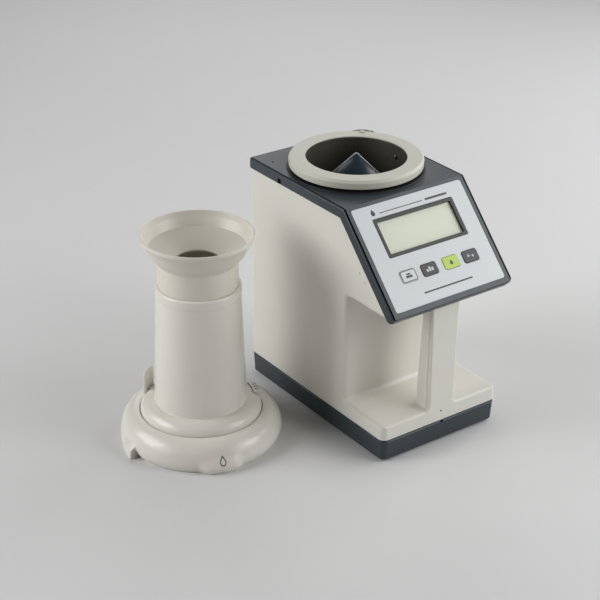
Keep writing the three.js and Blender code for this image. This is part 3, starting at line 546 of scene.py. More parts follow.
def feet():
    """A rubber pad with a dimple under it, and a barbed stem that holds it in the tray's floor."""
    under = TRAY_LOW.z - 0.2
    catch = TRAY_LOW.z + WALL + 0.4
    tip = TRAY_LOW.z + WALL + 3.5
    sole, pad, stem, barb, dimple = 6.4, 6.9, 2, 3.2, 0.6
    profile = [(0, dimple, 0), (2.2, dimple, 0.3), (2.6, 0, 0.3), (sole, 0, 0.6), (pad, under, 0.5),
               (stem, under, 0), (stem, catch, 0), (barb, catch, 0.3), (stem, tip, 0.5), (0, tip, 0)]
    for i, (x, y) in enumerate(FEET, 1):
        made = turned(profile, at(x, y), 64)
        piece(made, f"rubber_foot_{i}", "meter", RUBBER, [f"foot_{i}"])


def screw(name, body, place, head, low, high, shank, tip, node):
    """A pan head that faces down, with a cross in it, and its shank."""
    profile = [(0, low, 0), (head, low, 0.9), (head, high, 0.1), (shank, high, 0.2), (shank, tip, 0.4),
               (0, tip, 0)]
    arm, half = head * 0.62, 0.42
    bars = [slab(rect(-arm, arm, -half, half, 0.2), low - 1, low + 1.3, place=place),
            slab(rect(-half, half, -arm, arm, 0.2), low - 1, low + 1.1, place=place)]
    piece(cut(turned(profile, place, 40), *bars), name, body, STEEL, [node])


# -------------------- housing
def on_slope(up, inset):
    """The (y, z) of a point this far up from the slope's lip and this far inside it."""
    return LIP_Y + UP_Y * up + UP_Z * inset, LIP_Z + UP_Z * up - UP_Y * inset


def under_ridge(inset):
    """Where the top and the slope meet, both moved this far inwards."""
    return RIDGE_Y + inset * (1 - UP_Y) / UP_Z, TOP - inset


def slope_at(z, inset):
    """The point at a height on the slope moved this far inwards."""
    return on_slope((z - LIP_Z + UP_Y * inset) / UP_Z, inset)


def down_grip(z):
    """0 at the top of the grip and 1 at its foot."""
    return (CONSOLE - z) / (CONSOLE - DECK)


def grip_plan(inset, half, back, grooved):
    """Across the grip: a front strip with rounded edges, a groove behind it, and the narrower body."""
    if not grooved:
        return [(-half, inset, 1.8), (half, inset, 1.8), (half, back, 2.5), (-half, back, 2.5)]
    right = [(half, 0, 1.6), (half, 3.0, 0.6), (half - 1.5, 3.3, 0.3), (half - 1.5, 4.0, 0.3),
             (half - 0.5, 4.5, 0.4), (half - 0.5, back, 2.5)]
    return right + [(-x, y, r) for x, y, r in reversed(right)]


def grip_post(inset, low, high, flare=0.0):
    """The grip between deck and console: wider at the top, deeper at the foot, flush with the front."""
    turns = [pi / 2 * k / 8 for k in range(9)]
    heights = [DECK + flare * (1 - cos(a)) for a in turns]
    heights += [DECK + flare + (CONSOLE - DECK - 2 * flare) * k / 6 for k in range(1, 6)]
    heights += [CONSOLE - flare * (1 - sin(a)) for a in turns]
    rings = []
    for z in [low, *heights, high]:
        held = min(max(z, DECK), CONSOLE)
        near = min(held - DECK, CONSOLE - held, flare)
        out = flare - sqrt(max(flare ** 2 - (flare - near) ** 2, 0))
        half = GRIP_HALF * (1 - GRIP_NARROWS * down_grip(held)) - inset + out
        back = GRIP_DEPTH * (1 + GRIP_DEEPENS * down_grip(held)) - inset + out
        plan = grip_plan(inset, half, back, flare > 0)
        rings.append([(p.x, p.y, z) for p in outline(plan, 0, 6)])
    return loft(rings)


def housing_outside():
    """The shell: edges rounded, cut flat over the tray and under the cover's flange."""
    bottom = TRAY_HIGH.z + GAP
    profile = [(0, 10, 0), (DEPTH, 10, 0), (DEPTH, TOP - 1, 0.5), (*under_ridge(1), 0.5),
               (*slope_at(CONSOLE, 1), 0.8), (DECK_DEPTH, CONSOLE, 2.5), (DECK_DEPTH, DECK, 4.0),
               (0, DECK, 2.4)]
    shell = slab(profile, -HALF_BODY, HALF_BODY, 4.0, place=SIDE)
    plan = slab(rect(-HALF_BODY, HALF_BODY, 0, DEPTH, CORNER), 0, FAR, steps=12)
    plan = join(plan, slab(rect(-HALF_BODY - 5, HALF_BODY + 5, -30, 60), CONSOLE - 2, FAR + 1))
    limit = [(-40, bottom, 0), (DEPTH + 9, bottom, 0), (DEPTH + 9, TOP - SHOULDER, 0),
             (*under_ridge(SHOULDER), 0), (*on_slope(-THROUGH, SHOULDER), 0)]
    return common(shell, plan, slab(limit, -90, 90, place=SIDE, steps=1))


def housing_lip():
    """The narrower top that stands up inside the cover."""
    inset = WALL + 0.6
    floor_z, back = CONSOLE + 1, DEPTH - 4
    profile = [(*slope_at(floor_z, FLANGE + 0.2), 0), (back, floor_z, 0), (back, TOP - inset, 0),
               (*under_ridge(inset), 0), (*on_slope(inset, inset), 0)]
    half = HALF_COVER - FLANGE_WALL - GAP
    return slab(profile, -half, half, place=SIDE, steps=1)


def housing_inside():
    floor_z, front, back = CONSOLE + WALL, DECK_DEPTH + WALL, DEPTH - WALL
    profile = [(WALL, 0, 0), (back, 0, 0), (back, FAR, 0), (-30, FAR, 0), (-30, floor_z, 0),
               (front, floor_z, 0), (front, DECK - WALL, 0), (WALL, DECK - WALL, 0)]
    return slab(profile, -HALF_BODY + WALL, HALF_BODY - WALL, place=SIDE, steps=1)


def back_opening(half, low, high, corner):
    """A hole to cut through the back wall."""
    return slab(rect(-half, half, low, high, corner), DEPTH - 8, DEPTH + 8, place=BACK)


def socket_opening():
    low, high = span("serial_socket")
    return back_opening(high.x + GAP, low.z - GAP, high.z + GAP, 1.0)


def housing():
    shell = cut(join(housing_outside(), housing_lip()), housing_inside())
    shell = join(shell, grip_post(0, DECK - 2, CONSOLE + 1.2, FLARE))
    door_low, door_high = span("battery_door")
    margin = 0.4
    doorway = back_opening(DOOR_HALF + margin, door_low.z - margin, door_high.z + margin, 0.8)
    pin_hole = HINGE_PIN + margin
    pins = rod(1.25, -pin_hole, pin_hole, at(0, HINGE_Y, HINGE_Z) @ ALONG_X)
    front_dot = rod(0.9, -6, 6, at(0, 0, 30) @ ALONG_Y)
    dots = [rod(0.6, side * HALF_BODY - 0.9, side * HALF_BODY + 0.9, at(0, y, z) @ ALONG_X)
            for side in (-1, 1) for y, z in SIDE_DOTS]
    hollow = grip_post(GRIP_WALL, DECK - 8, CONSOLE + WALL + 2)
    made = cut(shell, hollow, doorway, socket_opening(), pins, front_dot, *dots)
    piece(made, "housing_shell", "meter", WHITE, ["main_housing"], 0.15)


# -------------------- top cover
def folded(made):
    """Folds a flat sheet (y along it, 0 at the ridge) down the slope and back along the top."""
    def fold(bm):
        split(bm, (0, 0, 0), (0, 1, 0))
        for v in bm.verts:
            x, along, height = v.co
            if along > 1e-3:
                v.co = (x, RIDGE_Y + along, TOP + height)
            elif along < -1e-3:
                v.co = SLOPE @ v.co
            else:
                v.co = (x, *under_ridge(-height))
    return edited(made, fold)


def cover_hollow():
    depth = FLANGE + 30
    profile = [(*on_slope(WALL, depth), 0), (*under_ridge(depth), 0), (BACK_Y - WALL, TOP - depth, 0),
               (BACK_Y - WALL, TOP - WALL, 0), (*under_ridge(WALL), 0), (*on_slope(WALL, WALL), 0)]
    half = HALF_COVER - FLANGE_WALL
    return slab(profile, -half, half, place=SIDE, steps=1)


def cover_grooves():
    """The groove just inside each side edge, shallower towards the back."""
    depth, width = 1.6, 1.5
    band = [(*on_slope(-1, depth), 0), (*under_ridge(depth), 0), (BACK_Y + 1, TOP - depth / 2, 0),
            (BACK_Y + 1, TOP + 5, 0), (RIDGE_Y - 4, TOP + 5, 0), (*on_slope(-1, -5), 0)]
    return [slab(band, x, x + width, place=SIDE, steps=1) for x in (-61.5, 60.0)]


def key_outline(key, margin=0.0):
    x = KEY_X[key]
    half_w, half_h = KEY_HALF_W + margin, KEY_HALF_H + margin
    return rect(x - half_w, x + half_w, KEY_ROW - half_h, KEY_ROW + half_h, KEY_CORNER + margin)


def panel_holes(margin, low, high):
    holes = [slab(lcd_outline(-margin, 1 + margin), low, high, place=SLOPE)]
    return holes + [slab(key_outline(key, margin), low, high, place=SLOPE) for key in KEY_X]


def top_cover():
    far = BACK_Y - RIDGE_Y
    flat = [(-HALF_COVER, LIP, COVER_FRONT), (HALF_COVER, LIP, COVER_FRONT),
            (HALF_COVER, far, COVER_BACK_RIGHT), (-HALF_COVER, far, COVER_BACK_LEFT)]
    outer = folded(slab(flat, -FLANGE, 0, 0.5, 1.3))
    half, end, top = PANEL_HALF + GAP, PANEL_END - GAP, PANEL_TOP + GAP
    recess = slab(rect(-half, half, end, top, 2.3), -0.8, 6, place=SLOPE)
    cell_hole = rod(CELL_HOLE, TOP - 12, TOP + 40, CELL, sides=SIDES)
    notches = [slab(rect(x, x + 6, *NOTCH_Y), *NOTCH_Z) for x in (-HALF_COVER - 4, HALF_COVER - 2)]
    dimples = [rod(1.1, TOP - 0.8, TOP + 2, at(x, DIMPLE_Y)) for x in (-DIMPLE_X, DIMPLE_X)]
    made = cut(outer, cover_hollow(), recess, cell_hole, *panel_holes(GAP, -9, 6), *cover_grooves(),
               *notches, *dimples)
    piece(made, "cover_shell", "meter", NAVY, ["top_cover"], 0.15)


# -------------------- panel, display and keys
def printed(shapes, name, material, height, body="meter"):
    """A printed mark, standing a few hundredths of a millimetre proud."""
    first, *others = [slab(shape, height - 0.05, height + 0.06, place=SLOPE) for shape in shapes]
    piece(join(first, *others) if others else first, name, body, material)


def drop(x, y, size):
    """A drop of water: a circle drawn out to a point."""
    points = [(x + size * sin(radians(a)), y - size * cos(radians(a)), 0) for a in range(-120, 121, 15)]
    return points + [(x, y + 1.9 * size, 0)]


def bar(x0, x1, y0, y1):
    return rect(x0, x1, y0, y1, 0.15)


def panel():
    face = rect(-PANEL_HALF, PANEL_HALF, PANEL_END, PANEL_TOP, 2)
    sheet = cut(slab(face, -0.5, 0.0, 0.1, place=SLOPE), *panel_holes(GAP, -3, 3))
    piece(sheet, "panel_film", "meter", FILM, ["panel_sheet"])
    printed([drop(-37.8, -10.4, 2.0)], "panel_drop", INK, 0)
    printed([bar(-32, 12, -11.6, -10.9), bar(15, 38, -11.9, -10.1)], "panel_top_rule", INK, 0)
    printed([bar(-24, 26, -84.6, -83.3)], "panel_bottom_rule", INK, 0)


def lcd_outline(inset, corner):
    return rect(-LCD_HALF + inset, LCD_HALF - inset, LCD_END + inset, LCD_TOP - inset, corner)


def display():
    """A bezel, the clear pane in it, and the display's metal can with its pale face."""
    opening = slab(lcd_outline(LCD_FRAME, 0.8), -5, 5, place=SLOPE)
    ring = cut(slab(lcd_outline(0, 1.2), -2.6, 0.1, 0.2, 0.35, place=SLOPE), opening)
    piece(ring, "display_bezel", "meter", BEZEL, ["lcd_bezel"], 0.15)
    pane = slab(lcd_outline(LCD_FRAME + GAP, 0.5), -1.9, -1.1, 0.15, place=SLOPE)
    piece(pane, "display_pane", "meter", GLASS, ["lcd_glass"])
    body = join(slab(rect(-44, 44, -51, -13, 1), -7.6, -4, 0.3, place=SLOPE),
                slab(rect(-38.4, 38.4, -47.5, -16.6, 0.5), -4.1, -2.3, 0.1, place=SLOPE))
    piece(body, "display_can", "meter", STEEL, ["display_module"])
    face = rect(-37.8, 37.8, -46.0, -18.2, 0.4)
    piece(slab(face, -2.35, -2.1, place=SLOPE), "display_face", "meter", DISPLAY)


def key_marks(key):
    """Small pictures instead of words: a sheet, level bars, a drop, and a pair of arrowheads."""
    x, y = KEY_X[key], KEY_ROW
    if key == "print":
        return [bar(x - 3.2, x + 3.2, y - 1.6, y + 0.2), bar(x - 2, x + 2, y + 0.7, y + 2.0)]
    if key == "average":
        tops = ((-3.6, 0.4), (-1, 2), (1.6, 1.1))
        return [bar(x + left, x + left + 2, y - 1.8, y + top) for left, top in tops]
    if key == "measure":
        return [drop(x, y - 0.7, 1.5)]
    return [[(x - 3.4, y - 0.4, 0), (x - 0.8, y - 0.4, 0), (x - 2.1, y + 1.9, 0)],
            [(x + 3.4, y + 0.4, 0), (x + 0.8, y + 0.4, 0), (x + 2.1, y - 1.9, 0)]]


def keys():
    proud, foot = 0.5, -4.3
    looks = {"print": (WHITE_KEY, "white_key", INK), "average": (GREY_KEY, "grey_key", PALE_INK),
             "measure": (GREEN_KEY, "green_key", INK), "select": (GREY_KEY, "grey_key", PALE_INK)}
    for key, (material, slot, ink) in looks.items():
        body = f"{key}_key"
        cap = slab(key_outline(key), foot + 0.5, proud, 0.2, 0.45, place=SLOPE)
        skirt = slab(key_outline(key, 1.2), foot, foot + 1, 0.2, place=SLOPE)
        piece(join(cap, skirt), f"{key}_button", body, material, [body])
        printed(key_marks(key), f"{key}_mark", ink, proud, body)
    line = cut(slab(key_outline("print", -0.35), proud - 0.05, proud + 0.05, place=SLOPE),
               slab(key_outline("print", -0.95), proud - 1, proud + 1, place=SLOPE))
    piece(line, "print_outline", "print_key", INK)


# -------------------- back of the meter
def battery_door():
    high = span("battery_door")[1]
    hinge = at(0, HINGE_Y, HINGE_Z) @ ALONG_X
    outline_of_plate = rect(-DOOR_HALF, DOOR_HALF, HINGE_Z, high.z, 0.6)
    plate = slab(outline_of_plate, DEPTH - 2.4, DEPTH, 0.1, 0.5, place=BACK)
    barrel = rod(DEPTH - HINGE_Y, -DOOR_HALF, DOOR_HALF, hinge, 0.2)
    pins = rod(0.9, -HINGE_PIN, HINGE_PIN, hinge, 0.2)
    grip_half, grip_rise, pitch = 10, 1.4, 3
    grips = []
    for i in range(3):
        bottom = high.z - 6 - pitch * i
        groove = rect(-grip_half, grip_half, bottom, bottom + grip_rise, 0.65)
        grips.append(slab(groove, DEPTH - 0.7, DEPTH + 2, place=BACK))
    piece(cut(join(plate, barrel, pins), *grips), "door_plate", "battery_cover", WHITE, ["battery_door"],
          0.12)


def batteries():
    """Four cells one above another, turned end for end."""
    half = BATTERY_HALF
    for row in range(4):
        number = row + 1
        turn = 1 if row % 2 else -1
        place = at(0, BATTERY_Y, BATTERY_LOW + BATTERY_PITCH * row) @ Matrix.Rotation(turn * pi / 2, 4, "Y")
        piece(rod(BATTERY, -half, half, place, 0.5, 64), f"battery_sleeve_{number}", "meter", SLEEVE,
              [f"battery_{number}"])
        piece(rod(BATTERY + 0.04, 9, half - 0.8, place, 0, 64), f"battery_wrap_{number}", "meter", BAND)
        piece(rod(2.7, half - 0.3, half + 1.1, place, 0.3), f"battery_cap_{number}", "meter", STEEL)


def d_shape(inset):
    """The socket's D outline, narrower at the bottom."""
    low, high = SOCKET_Z - SOCKET_RISE + inset, SOCKET_Z + SOCKET_RISE - inset
    narrow, corner = 1.4, 1.8 - inset
    half = SOCKET_HALF
    return [(-half + narrow + inset, low, corner), (half - narrow - inset, low, corner),
            (half - inset, high, corner), (-half + inset, high, corner)]


def serial_socket():
    z = SOCKET_Z
    half, rise = 15.4, 6.2
    flange = slab(rect(-half, half, z - rise, z + rise, 1.2), DEPTH - 2.2, DEPTH - 0.6, 0.2, place=BACK)
    shell = slab(d_shape(0), DEPTH - 12, DEPTH + 4.6, 0.2, place=BACK)
    pocket = slab(d_shape(0.8), DEPTH - 1, DEPTH + 9, place=BACK)
    holes = [rod(1.9, -20, 20, at(x, DEPTH, z) @ ALONG_Y) for x in (-SOCKET_SCREW, SOCKET_SCREW)]
    made = cut(join(flange, shell), pocket, *holes)
    piece(made, "socket_shell", "meter", STEEL, ["serial_socket"])
    insert = slab(d_shape(1.0), DEPTH - 1.1, DEPTH + 3.6, 0.2, place=BACK)
    pitch, row = 2.75, 1.4
    places = [((k - 2) * pitch, z + row) for k in range(5)]
    places += [((k - 1.5) * pitch, z - row) for k in range(4)]
    sockets = [rod(0.55, 1, 9, at(x, DEPTH, height) @ ALONG_Y, sides=16) for x, height in places]
    piece(cut(insert, *sockets), "socket_insert", "meter", BLACK)
    for i, x in enumerate((-SOCKET_SCREW, SOCKET_SCREW), 1):
        place = at(x, DEPTH - 0.3, z) @ ALONG_Y
        nut = slab(circle(2.5, 6), 0, 4.6, 0.25, place=place, steps=1)
        standoff = cut(join(nut, rod(1.5, -6, 0.2, place)), rod(1.2, 1.5, 9, place))
        piece(standoff, f"socket_standoff_{i}", "meter", STEEL, [f"socket_screw_{i}"], 0.1)


# -------------------- measuring cell
def sensor_port():
    return rod(2.6, 30, 49, CELL @ at(0, 0, SENSOR_Z) @ ALONG_X)


def cell_ring():
    """The ring that the grain is poured through, its peg, and a black ring under it that paints the shade in
    the gap between that ring and the cover.
    """
    neck, neck_low, step = BORE + 1.9, 200, RIM_TOP - 1
    profile = [(BORE, step, 0.2), (neck, step, 0), (neck, neck_low, 0.2), (neck + 2, neck_low, 0.2),
               (neck + 2, RIM_UNDER, 0.3), (RIM - 0.3, RIM_UNDER, 0.5), (RIM, RIM_TOP - 2.2, 0.35),
               (RIM - 1.6, RIM_TOP, 0.35), (BORE, RIM_TOP, 0.5)]
    peg = at(*polar(PEG_REACH, PEG_TURN))
    ring = cut(turned(profile, CELL), rod(1.6, RIM_TOP - 3, FAR, CELL @ peg), sensor_port())
    piece(ring, "funnel_ring", "measuring_cell", RING, ["cell_rim"])
    low, flat, high = RIM_TOP - 2.6, RIM_TOP + 0.3, RIM_TOP + 1.5
    shape = [(0, low, 0), (1.3, low, 0.1), (1.3, flat, 0.1), (1.8, flat, 0.1), (1.8, high, 0.6), (0, high, 0)]
    piece(turned(shape, CELL @ peg, 40), "ring_peg", "measuring_cell", RING, ["rim_peg"])
    # A black ring fills the gap between the cell ring and the cover: painted shade of that gap.
    inner, outer, bottom, top = 50, CELL_HOLE - GAP, 202, 207.9
    shaded_gap = [(inner, bottom, 0.2), (outer, bottom, 0.2), (outer, top, 0.4), (inner, top, 0.4)]
    piece(turned(shaded_gap, CELL), "gap_shade_ring", "meter", BLACK, ["dust_ring"])


def cell_inside():
    """The cell's wall, its floor, the electrode standing in the middle, and the temperature sensor."""
    wall = cut(turned(rect(BORE, BORE + 1.5, 136, RIM_TOP - 1.3, 0.2), CELL), sensor_port())
    piece(wall, "outer_electrode", "measuring_cell", CELL_METAL, ["cell_wall"])
    stem, thick = 8, 4
    plate = turned(rect(stem, BORE - GAP, CELL_FLOOR - thick, CELL_FLOOR, 0.2), CELL)
    piece(plate, "cell_bottom", "measuring_cell", BLACK, ["cell_floor"])
    foot, under, rim = stem - GAP, CELL_FLOOR + GAP, CONE_SEAT - GAP
    inner, base = ELECTRODE - 1.5, CELL_FLOOR + 2.3
    cup = [(0, 132, 0), (foot, 132, 0.4), (foot, under, 0), (ELECTRODE, under, 0.5), (ELECTRODE, rim, 0.3),
           (inner, rim, 0.3), (inner, base, 0.5), (0, base, 0)]
    piece(turned(cup, CELL), "inner_electrode", "measuring_cell", CELL_METAL, ["centre_electrode"])
    radius, end = 2.3, BORE + 4.8
    button = [(0, BORE - 1.6, 0), (1.5, BORE - 1.5, 0.5), (radius, BORE - GAP, 0.3), (radius, end, 0.2),
              (0, end, 0)]
    sensor = turned(button, CELL @ at(0, 0, SENSOR_Z) @ ALONG_X, 40)
    piece(sensor, "sensor_button", "measuring_cell", SENSOR_METAL, ["temperature_sensor"])


def cone():
    """The cone on the electrode, and two pale blades down its sides, turned square to the view so they stand
    at its outline: painted highlights of its glossy edges.
    """
    plug, plug_low = CONE - 2.0, 190
    body = turned([(0, plug_low, 0), (plug, plug_low, 0.3), (plug, CONE_SEAT, 0), (CONE, CONE_SEAT, 0.3),
                   (0, APEX, 0)], CELL)
    piece(body, "cone_cap", "measuring_cell", CONE_NAVY, ["centre_cone"])
    # Two pale blades standing at the cone's outline as the camera sees it paint the highlights of its edges.
    half, proud = 0.55, 0.9
    blade = [(-CONE - proud, CONE_SEAT, 0), (CONE + proud, CONE_SEAT, 0), (proud, APEX, 0),
             (-proud, APEX, 0)]
    upright = CELL @ Matrix.Rotation(radians(HIGHLIGHT_TURN), 4, "Z") @ Matrix.Rotation(pi / 2, 4, "X")
    piece(slab(blade, -half, half, 0.15, place=upright, steps=1), "cone_highlight_blades", "measuring_cell", CONE_HIGHLIGHT_PAINT)


# -------------------- loader
def ramp(value, start, end):
    """0 at the start, 1 at the end, eased at both."""
    share = min(max((value - start) / (end - start), 0), 1)
    return share * share * (3 - 2 * share)


def skirt_radius(z):
    if z < WIDEST_Z:
        return SKIRT - ROLL_UNDER + ROLL_UNDER * sqrt(1 - ((WIDEST_Z - z) / ROLL_DROP) ** 2)
    rise = (z - WIDEST_Z) / (MOUTH_Z - WIDEST_Z)
    return SKIRT - ROLL_OVER + ROLL_OVER * sqrt(max(1 - rise ** 2, 0))


def skirt_swell(a, r, z):
    """The thumb pad and the lug: the skirt reaches further out over a narrow turn."""
    turn = (a * 180 / pi) % 360
    off = abs((turn - PAD_TURN + 180) % 360 - 180)
    pad = PAD_SWELL * ramp(off, 18, 8) * ramp(z, 15, 4)
    along = ramp(turn, LUG_FAR, LUG_NEAR) * ramp(turn, LUG_NEAR + 0.7, LUG_NEAR - 0.5)
    lug = (LUG_REACH - skirt_radius(z)) * along * ramp(z, 13, 6)
    return (pad + lug) * ramp(r, 57, 62)


def skirt_profile():
    """The skirt cut through: its rolled outside, the hollow under it, and the shelf with its rib."""
    inside = arc((51.6, 6), 13.3, 16.2, 90, 25, 10)
    shelf_r, shelf_top = inside[-1][:2]
    outlet, ledge, rib, rib_low = 34, 57.2, 2, 4
    outside = arc((SKIRT - ROLL_UNDER, WIDEST_Z), ROLL_UNDER, ROLL_DROP, -45.5, -6, 6)
    outside += arc((SKIRT - ROLL_OVER, WIDEST_Z), ROLL_OVER, MOUTH_Z - WIDEST_Z, 0, 90, 22)
    inner = [(outlet, shelf_top, 0.2), (outlet, SHELF, 0.2), (ledge, SHELF, 0), (ledge, rib_low, 0.3),
             (ledge + rib, rib_low, 0.3), (ledge + rib, SHELF, 0), (shelf_r - 0.4, SHELF, 0), (64.4, 6, 0),
             (61.9, 0.2, 0)]
    return [*outside, (MOUTH, MOUTH_Z, 0.6), (MOUTH, MOUTH_Z - 2.6, 0), *inside[1:], *inner]


def around(turn):
    """Places a (sideways, height) profile at a turn of the loader, running outwards."""
    return LOADER @ Matrix.Rotation(radians(turn), 4, "Z") @ SIDE


def screw_rods(radius, low, high):
    return [rod(radius, low, high, LOADER @ at(*polar(SCREW_REACH, turn))) for turn in LOADER_SCREWS]


def loader_base():
    """The skirt, with a notch beside its lug, and a drop printed on its thumb pad."""
    sides = 300
    base = turned(skirt_profile(), LOADER, sides, 3, skirt_swell)
    wedge = [(0, -2, 0), (9.4, -2, 0), (0, 8.6, 0)]
    notch = slab(wedge, 48, 80, place=around(LUG_NEAR), steps=1)
    base = cut(base, *screw_rods(1.7, 0, 20), notch)
    piece(base, "loader_skirt", "loader", LOADER_WHITE, ["loader_base"])
    mark_z, outer, inner = 10.3, 2.7, 1.9
    mark = cut(slab(drop(0, mark_z, outer), 64, 80, place=around(PAD_TURN), steps=1),
               slab(drop(0, mark_z, inner), 60, 90, place=around(PAD_TURN), steps=1))
    raised = turned(skirt_profile(), LOADER, sides, 3, skirt_swell, grow=0.06)
    piece(common(raised, mark), "pad_mark", "loader", INK)


def windows(turn):
    """The four openings that the grain falls through."""
    return [slab(sector(WINDOW_INNER, WINDOW_OUTER, turn + 90 * i, WINDOW), 0, 40, place=LOADER, steps=1)
            for i in range(4)]


def outlet_and_shutter():
    low = SHUTTER_LOW
    deck = low + 2.4
    plate = slab(circle(SHUTTER, 96), deck, 17, 0.2, place=LOADER, steps=1)
    plate = join(plate, rod(SHUTTER_HUB - GAP, low, deck + 0.5, LOADER, 0.3))
    plate = cut(plate, *windows(TAB_TURN))
    piece(plate, "outlet_grid", "loader", LOADER_WHITE, ["outlet_plate"], 0.12)
    disc = slab(circle(SHUTTER, 96), low, low + 2, 0.2, place=LOADER, steps=1)
    arm = slab(sector(SHUTTER - 4, ARM_REACH, TAB_TURN, 16), low, low + 2, 0.2, place=LOADER, steps=1)
    disc = cut(join(disc, arm), rod(SHUTTER_HUB, 0, 40, LOADER), *windows(TAB_TURN + 45))
    piece(disc, "shutter_plate", "shutter", BLACK, ["shutter_disc"], 0.12)


def thumb_tab():
    """The upright lever that turns the shutter."""
    foot = SHUTTER_LOW + 2.3
    half = radians(9.5) * TAB_REACH
    plan = [(-half, foot, 0.5), (half, foot, 0.5), (half, TAB_TOP, 4), (-half, TAB_TOP, 4)]
    plate = bent(slab(plan, -1.3, 1.3, 0.8), TAB_REACH, TAB_TURN, LOADER)
    sole = slab(sector(43.6, ARM_REACH, TAB_TURN, 14), foot, foot + 2, 0.3, place=LOADER, steps=1)
    piece(join(plate, sole), "thumb_tab", "shutter", LOADER_WHITE, ["shutter_tab"])


def sample_tube():
    """The tube that holds the measure of grain, on a domed flange cut away for the tab and the clip."""
    foot, head, wall = 38.6, 34.9, 1.8
    low, neck_z, top = 17.3, 35.0, 139.6
    flange, flange_z = 50.9, 19.5
    dome = arc((40.1, 24.6), 10.8, 9.6, 0, 84, 12)
    profile = [(foot - wall, low, 0), (foot, low, 0.2), (foot, flange_z, 0), (flange, flange_z, 0.3), *dome,
               (foot, neck_z - 0.8, 0.8), (head + 0.1, top - 8.4, 1), (head + 0.35, top - 7.6, 0.5),
               (head + 0.3, top, 2.2), (head - wall, top, 0.3), (head - wall + 0.3, top - 15, 0)]
    posts, bores = screw_rods(3.4, SHUTTER_LOW, 25), screw_rods(1.5, 0, 25)
    sweep = slab(sector(46.8, 60, TAB_TURN - 22.5, 71), 10, 40, place=LOADER, steps=1)
    middle_turn, width = (CLIP_FROM + CLIP_TO) / 2, CLIP_TO - CLIP_FROM + 1
    seat = slab(sector(44, 60, middle_turn, width), 21.7, 40, place=LOADER, steps=1)
    made = cut(join(turned(profile, LOADER, SIDES, 4), *posts), *bores, sweep, seat)
    piece(made, "tube_shell", "loader", LOADER_WHITE, ["sample_tube"], 0.1)


def tube_clip():
    turn = (CLIP_FROM + CLIP_TO) / 2
    reach = (CLIP_INNER + CLIP_REACH) / 2
    half = radians(CLIP_TO - CLIP_FROM) / 2 * reach
    block = slab(rect(-half, half, 22, 34.4, 0.5), CLIP_INNER - reach, CLIP_REACH - reach, 0.2, 0.9)
    block = bent(block, reach, turn, LOADER)
    slots = [slab(sector(45.9, 60, turn + d, 2.4), 27, 40, place=LOADER, steps=1) for d in (-5, 0, 5)]
    piece(cut(block, *slots), "tube_latch", "loader", LOADER_WHITE, ["tube_clip"], 0.1)


def funnel():
    """A rolled rim, a steep band, a shallow cone down to the throat, and the neck that sits in the tube."""
    rim, top, neck, crease, throat, throat_z = 46.3, 184.0, 32.9, 39.5, 19.0, 160.5
    bore = neck - 2
    profile = [(bore, 127, 0.4), (neck, 127, 0.4), (neck - 0.1, top - 23, 3), (38.4, top - 17, 7),
               (43.4, top - 6.5, 5), (rim - 1.0, top - 3.6, 0.3), (rim, top - 2.9, 0.5), (rim, top, 0.9),
               (rim - 1.5, top, 0.6), (43.6, top - 4.5, 4), (crease, top - 12, 0.35), (throat, throat_z, 0.4),
               (throat, throat_z - 1.6, 0.3), (throat + 1.4, throat_z - 1.6, 0.2),
               (bore, throat_z + 4.6, 0.5)]
    piece(turned(profile, LOADER, SIDES, 4), "funnel_bowl", "funnel_cup", SHADED_FUNNEL_WHITE, ["funnel"])


# -------------------- inside, shown as it was modelled
def insides():
    for node in ("main_board", "key_board", "sensor_board"):
        kept(node, MASK, 0.15)
    for node in ("load_cell_post", "load_cell_beam", "cell_bracket", "cell_carrier"):
        kept(node, ALUMINIUM)
    for i in range(1, 5):
        kept(f"key_switch_{i}", CHIP, 0.15)
    for side in ("left", "right"):
        kept(f"battery_contacts_{side}", STEEL, 0.1)
    kept("battery_holder", BLACK)


# -------------------- stage
def floor():
    bm = bmesh.new()
    bmesh.ops.create_circle(bm, cap_ends=True, segments=128, radius=4.0)
    made = from_bmesh(bm, "floor")
    paper = moulded("floor_paper", srgb(214, 214, 214), 0.7, vary=0.008, edges_paler=1.0, scale=300)
    made.data.materials.append(paper)


def world():
    studio = bpy.data.worlds.new("studio")
    bpy.context.scene.world = studio
    studio.use_nodes = True
    sky = studio.node_tree.nodes["Background"]
    sky.inputs["Color"].default_value = srgb(228, 229, 232)
    sky.inputs["Strength"].default_value = 0.02


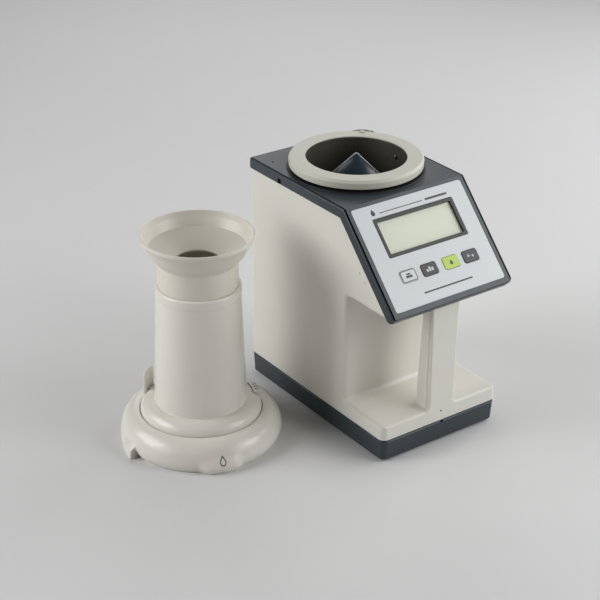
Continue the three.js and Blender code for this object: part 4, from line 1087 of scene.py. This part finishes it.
def softbox(name, turn, height, power):
    """A broad flat lamp aimed at the set, placed by its turn about the set and its height, in degrees."""
    lamp = bpy.data.lights.new(name, "AREA")
    lamp.shape = "RECTANGLE"
    lamp.size, lamp.size_y = LAMP_SIZE
    lamp.energy = power
    made = bpy.data.objects.new(name, lamp)
    bpy.context.scene.collection.objects.link(made)
    flat = cos(radians(height))
    away = Vector((cos(radians(turn)) * flat, sin(radians(turn)) * flat, sin(radians(height))))
    made.location = Vector((0, 0, AIM_HEIGHT)) + away * LAMP_DISTANCE
    made.rotation_euler = away.to_track_quat("Z", "Y").to_euler()


def lights():
    """A soft tent of lamps, strongest behind on the left and in front on the right."""
    softbox("back_left", 150, 31, 12.5)
    softbox("left", 170, 20, 5.4)
    softbox("back", 62, 24, 3.8)
    softbox("right", 0, 27, 10)
    softbox("front_right", 320, 32, 8.4)
    softbox("front", 300, 20, 6.4)


def camera():
    """The photograph's viewpoint: front left, a little above."""
    yaw, pitch, roll = radians(CAMERA_YAW), radians(CAMERA_PITCH), radians(CAMERA_ROLL)
    forward = Vector((sin(yaw) * cos(pitch), cos(yaw) * cos(pitch), -sin(pitch)))
    level = Vector((cos(yaw), -sin(yaw), 0))
    upright = level.cross(forward)
    right = level * cos(roll) + upright * sin(roll)
    up = upright * cos(roll) - level * sin(roll)
    lens = bpy.data.cameras.new("camera")
    lens.lens = FOCAL_LENGTH
    lens.sensor_width = 36
    lens.clip_start = 0.05
    made = bpy.data.objects.new("camera", lens)
    bpy.context.scene.collection.objects.link(made)
    turned_to = Matrix((right, up, -forward)).transposed().to_4x4()
    made.matrix_world = Matrix.Translation(ORIGIN * MM + Vector(CAMERA_PLACE)) @ turned_to
    bpy.context.scene.camera = made
    bpy.context.scene.view_settings.view_transform = "Standard"


# -------------------- everything
def meter():
    base_tray()
    feet()
    for i, place in enumerate(BASE_SCREWS, 1):
        screw(f"tray_screw_{i}", "meter", at(*place), 3, 11.4, 13.7, 1.4, 30, f"base_screw_{i}")
    housing()
    top_cover()
    panel()
    display()
    keys()
    battery_door()
    batteries()
    serial_socket()
    cell_ring()
    cell_inside()
    cone()
    insides()


def loader():
    loader_base()
    outlet_and_shutter()
    thumb_tab()
    sample_tube()
    tube_clip()
    funnel()
    for i, turn in enumerate(LOADER_SCREWS, 1):
        place = LOADER @ at(*polar(SCREW_REACH, turn))
        screw(f"skirt_screw_{i}", "loader", place, 2.8, 7.4, SHELF - GAP, 1.2, 23, f"loader_screw_{i}")


meter()
loader()
floor()
world()
lights()
camera()
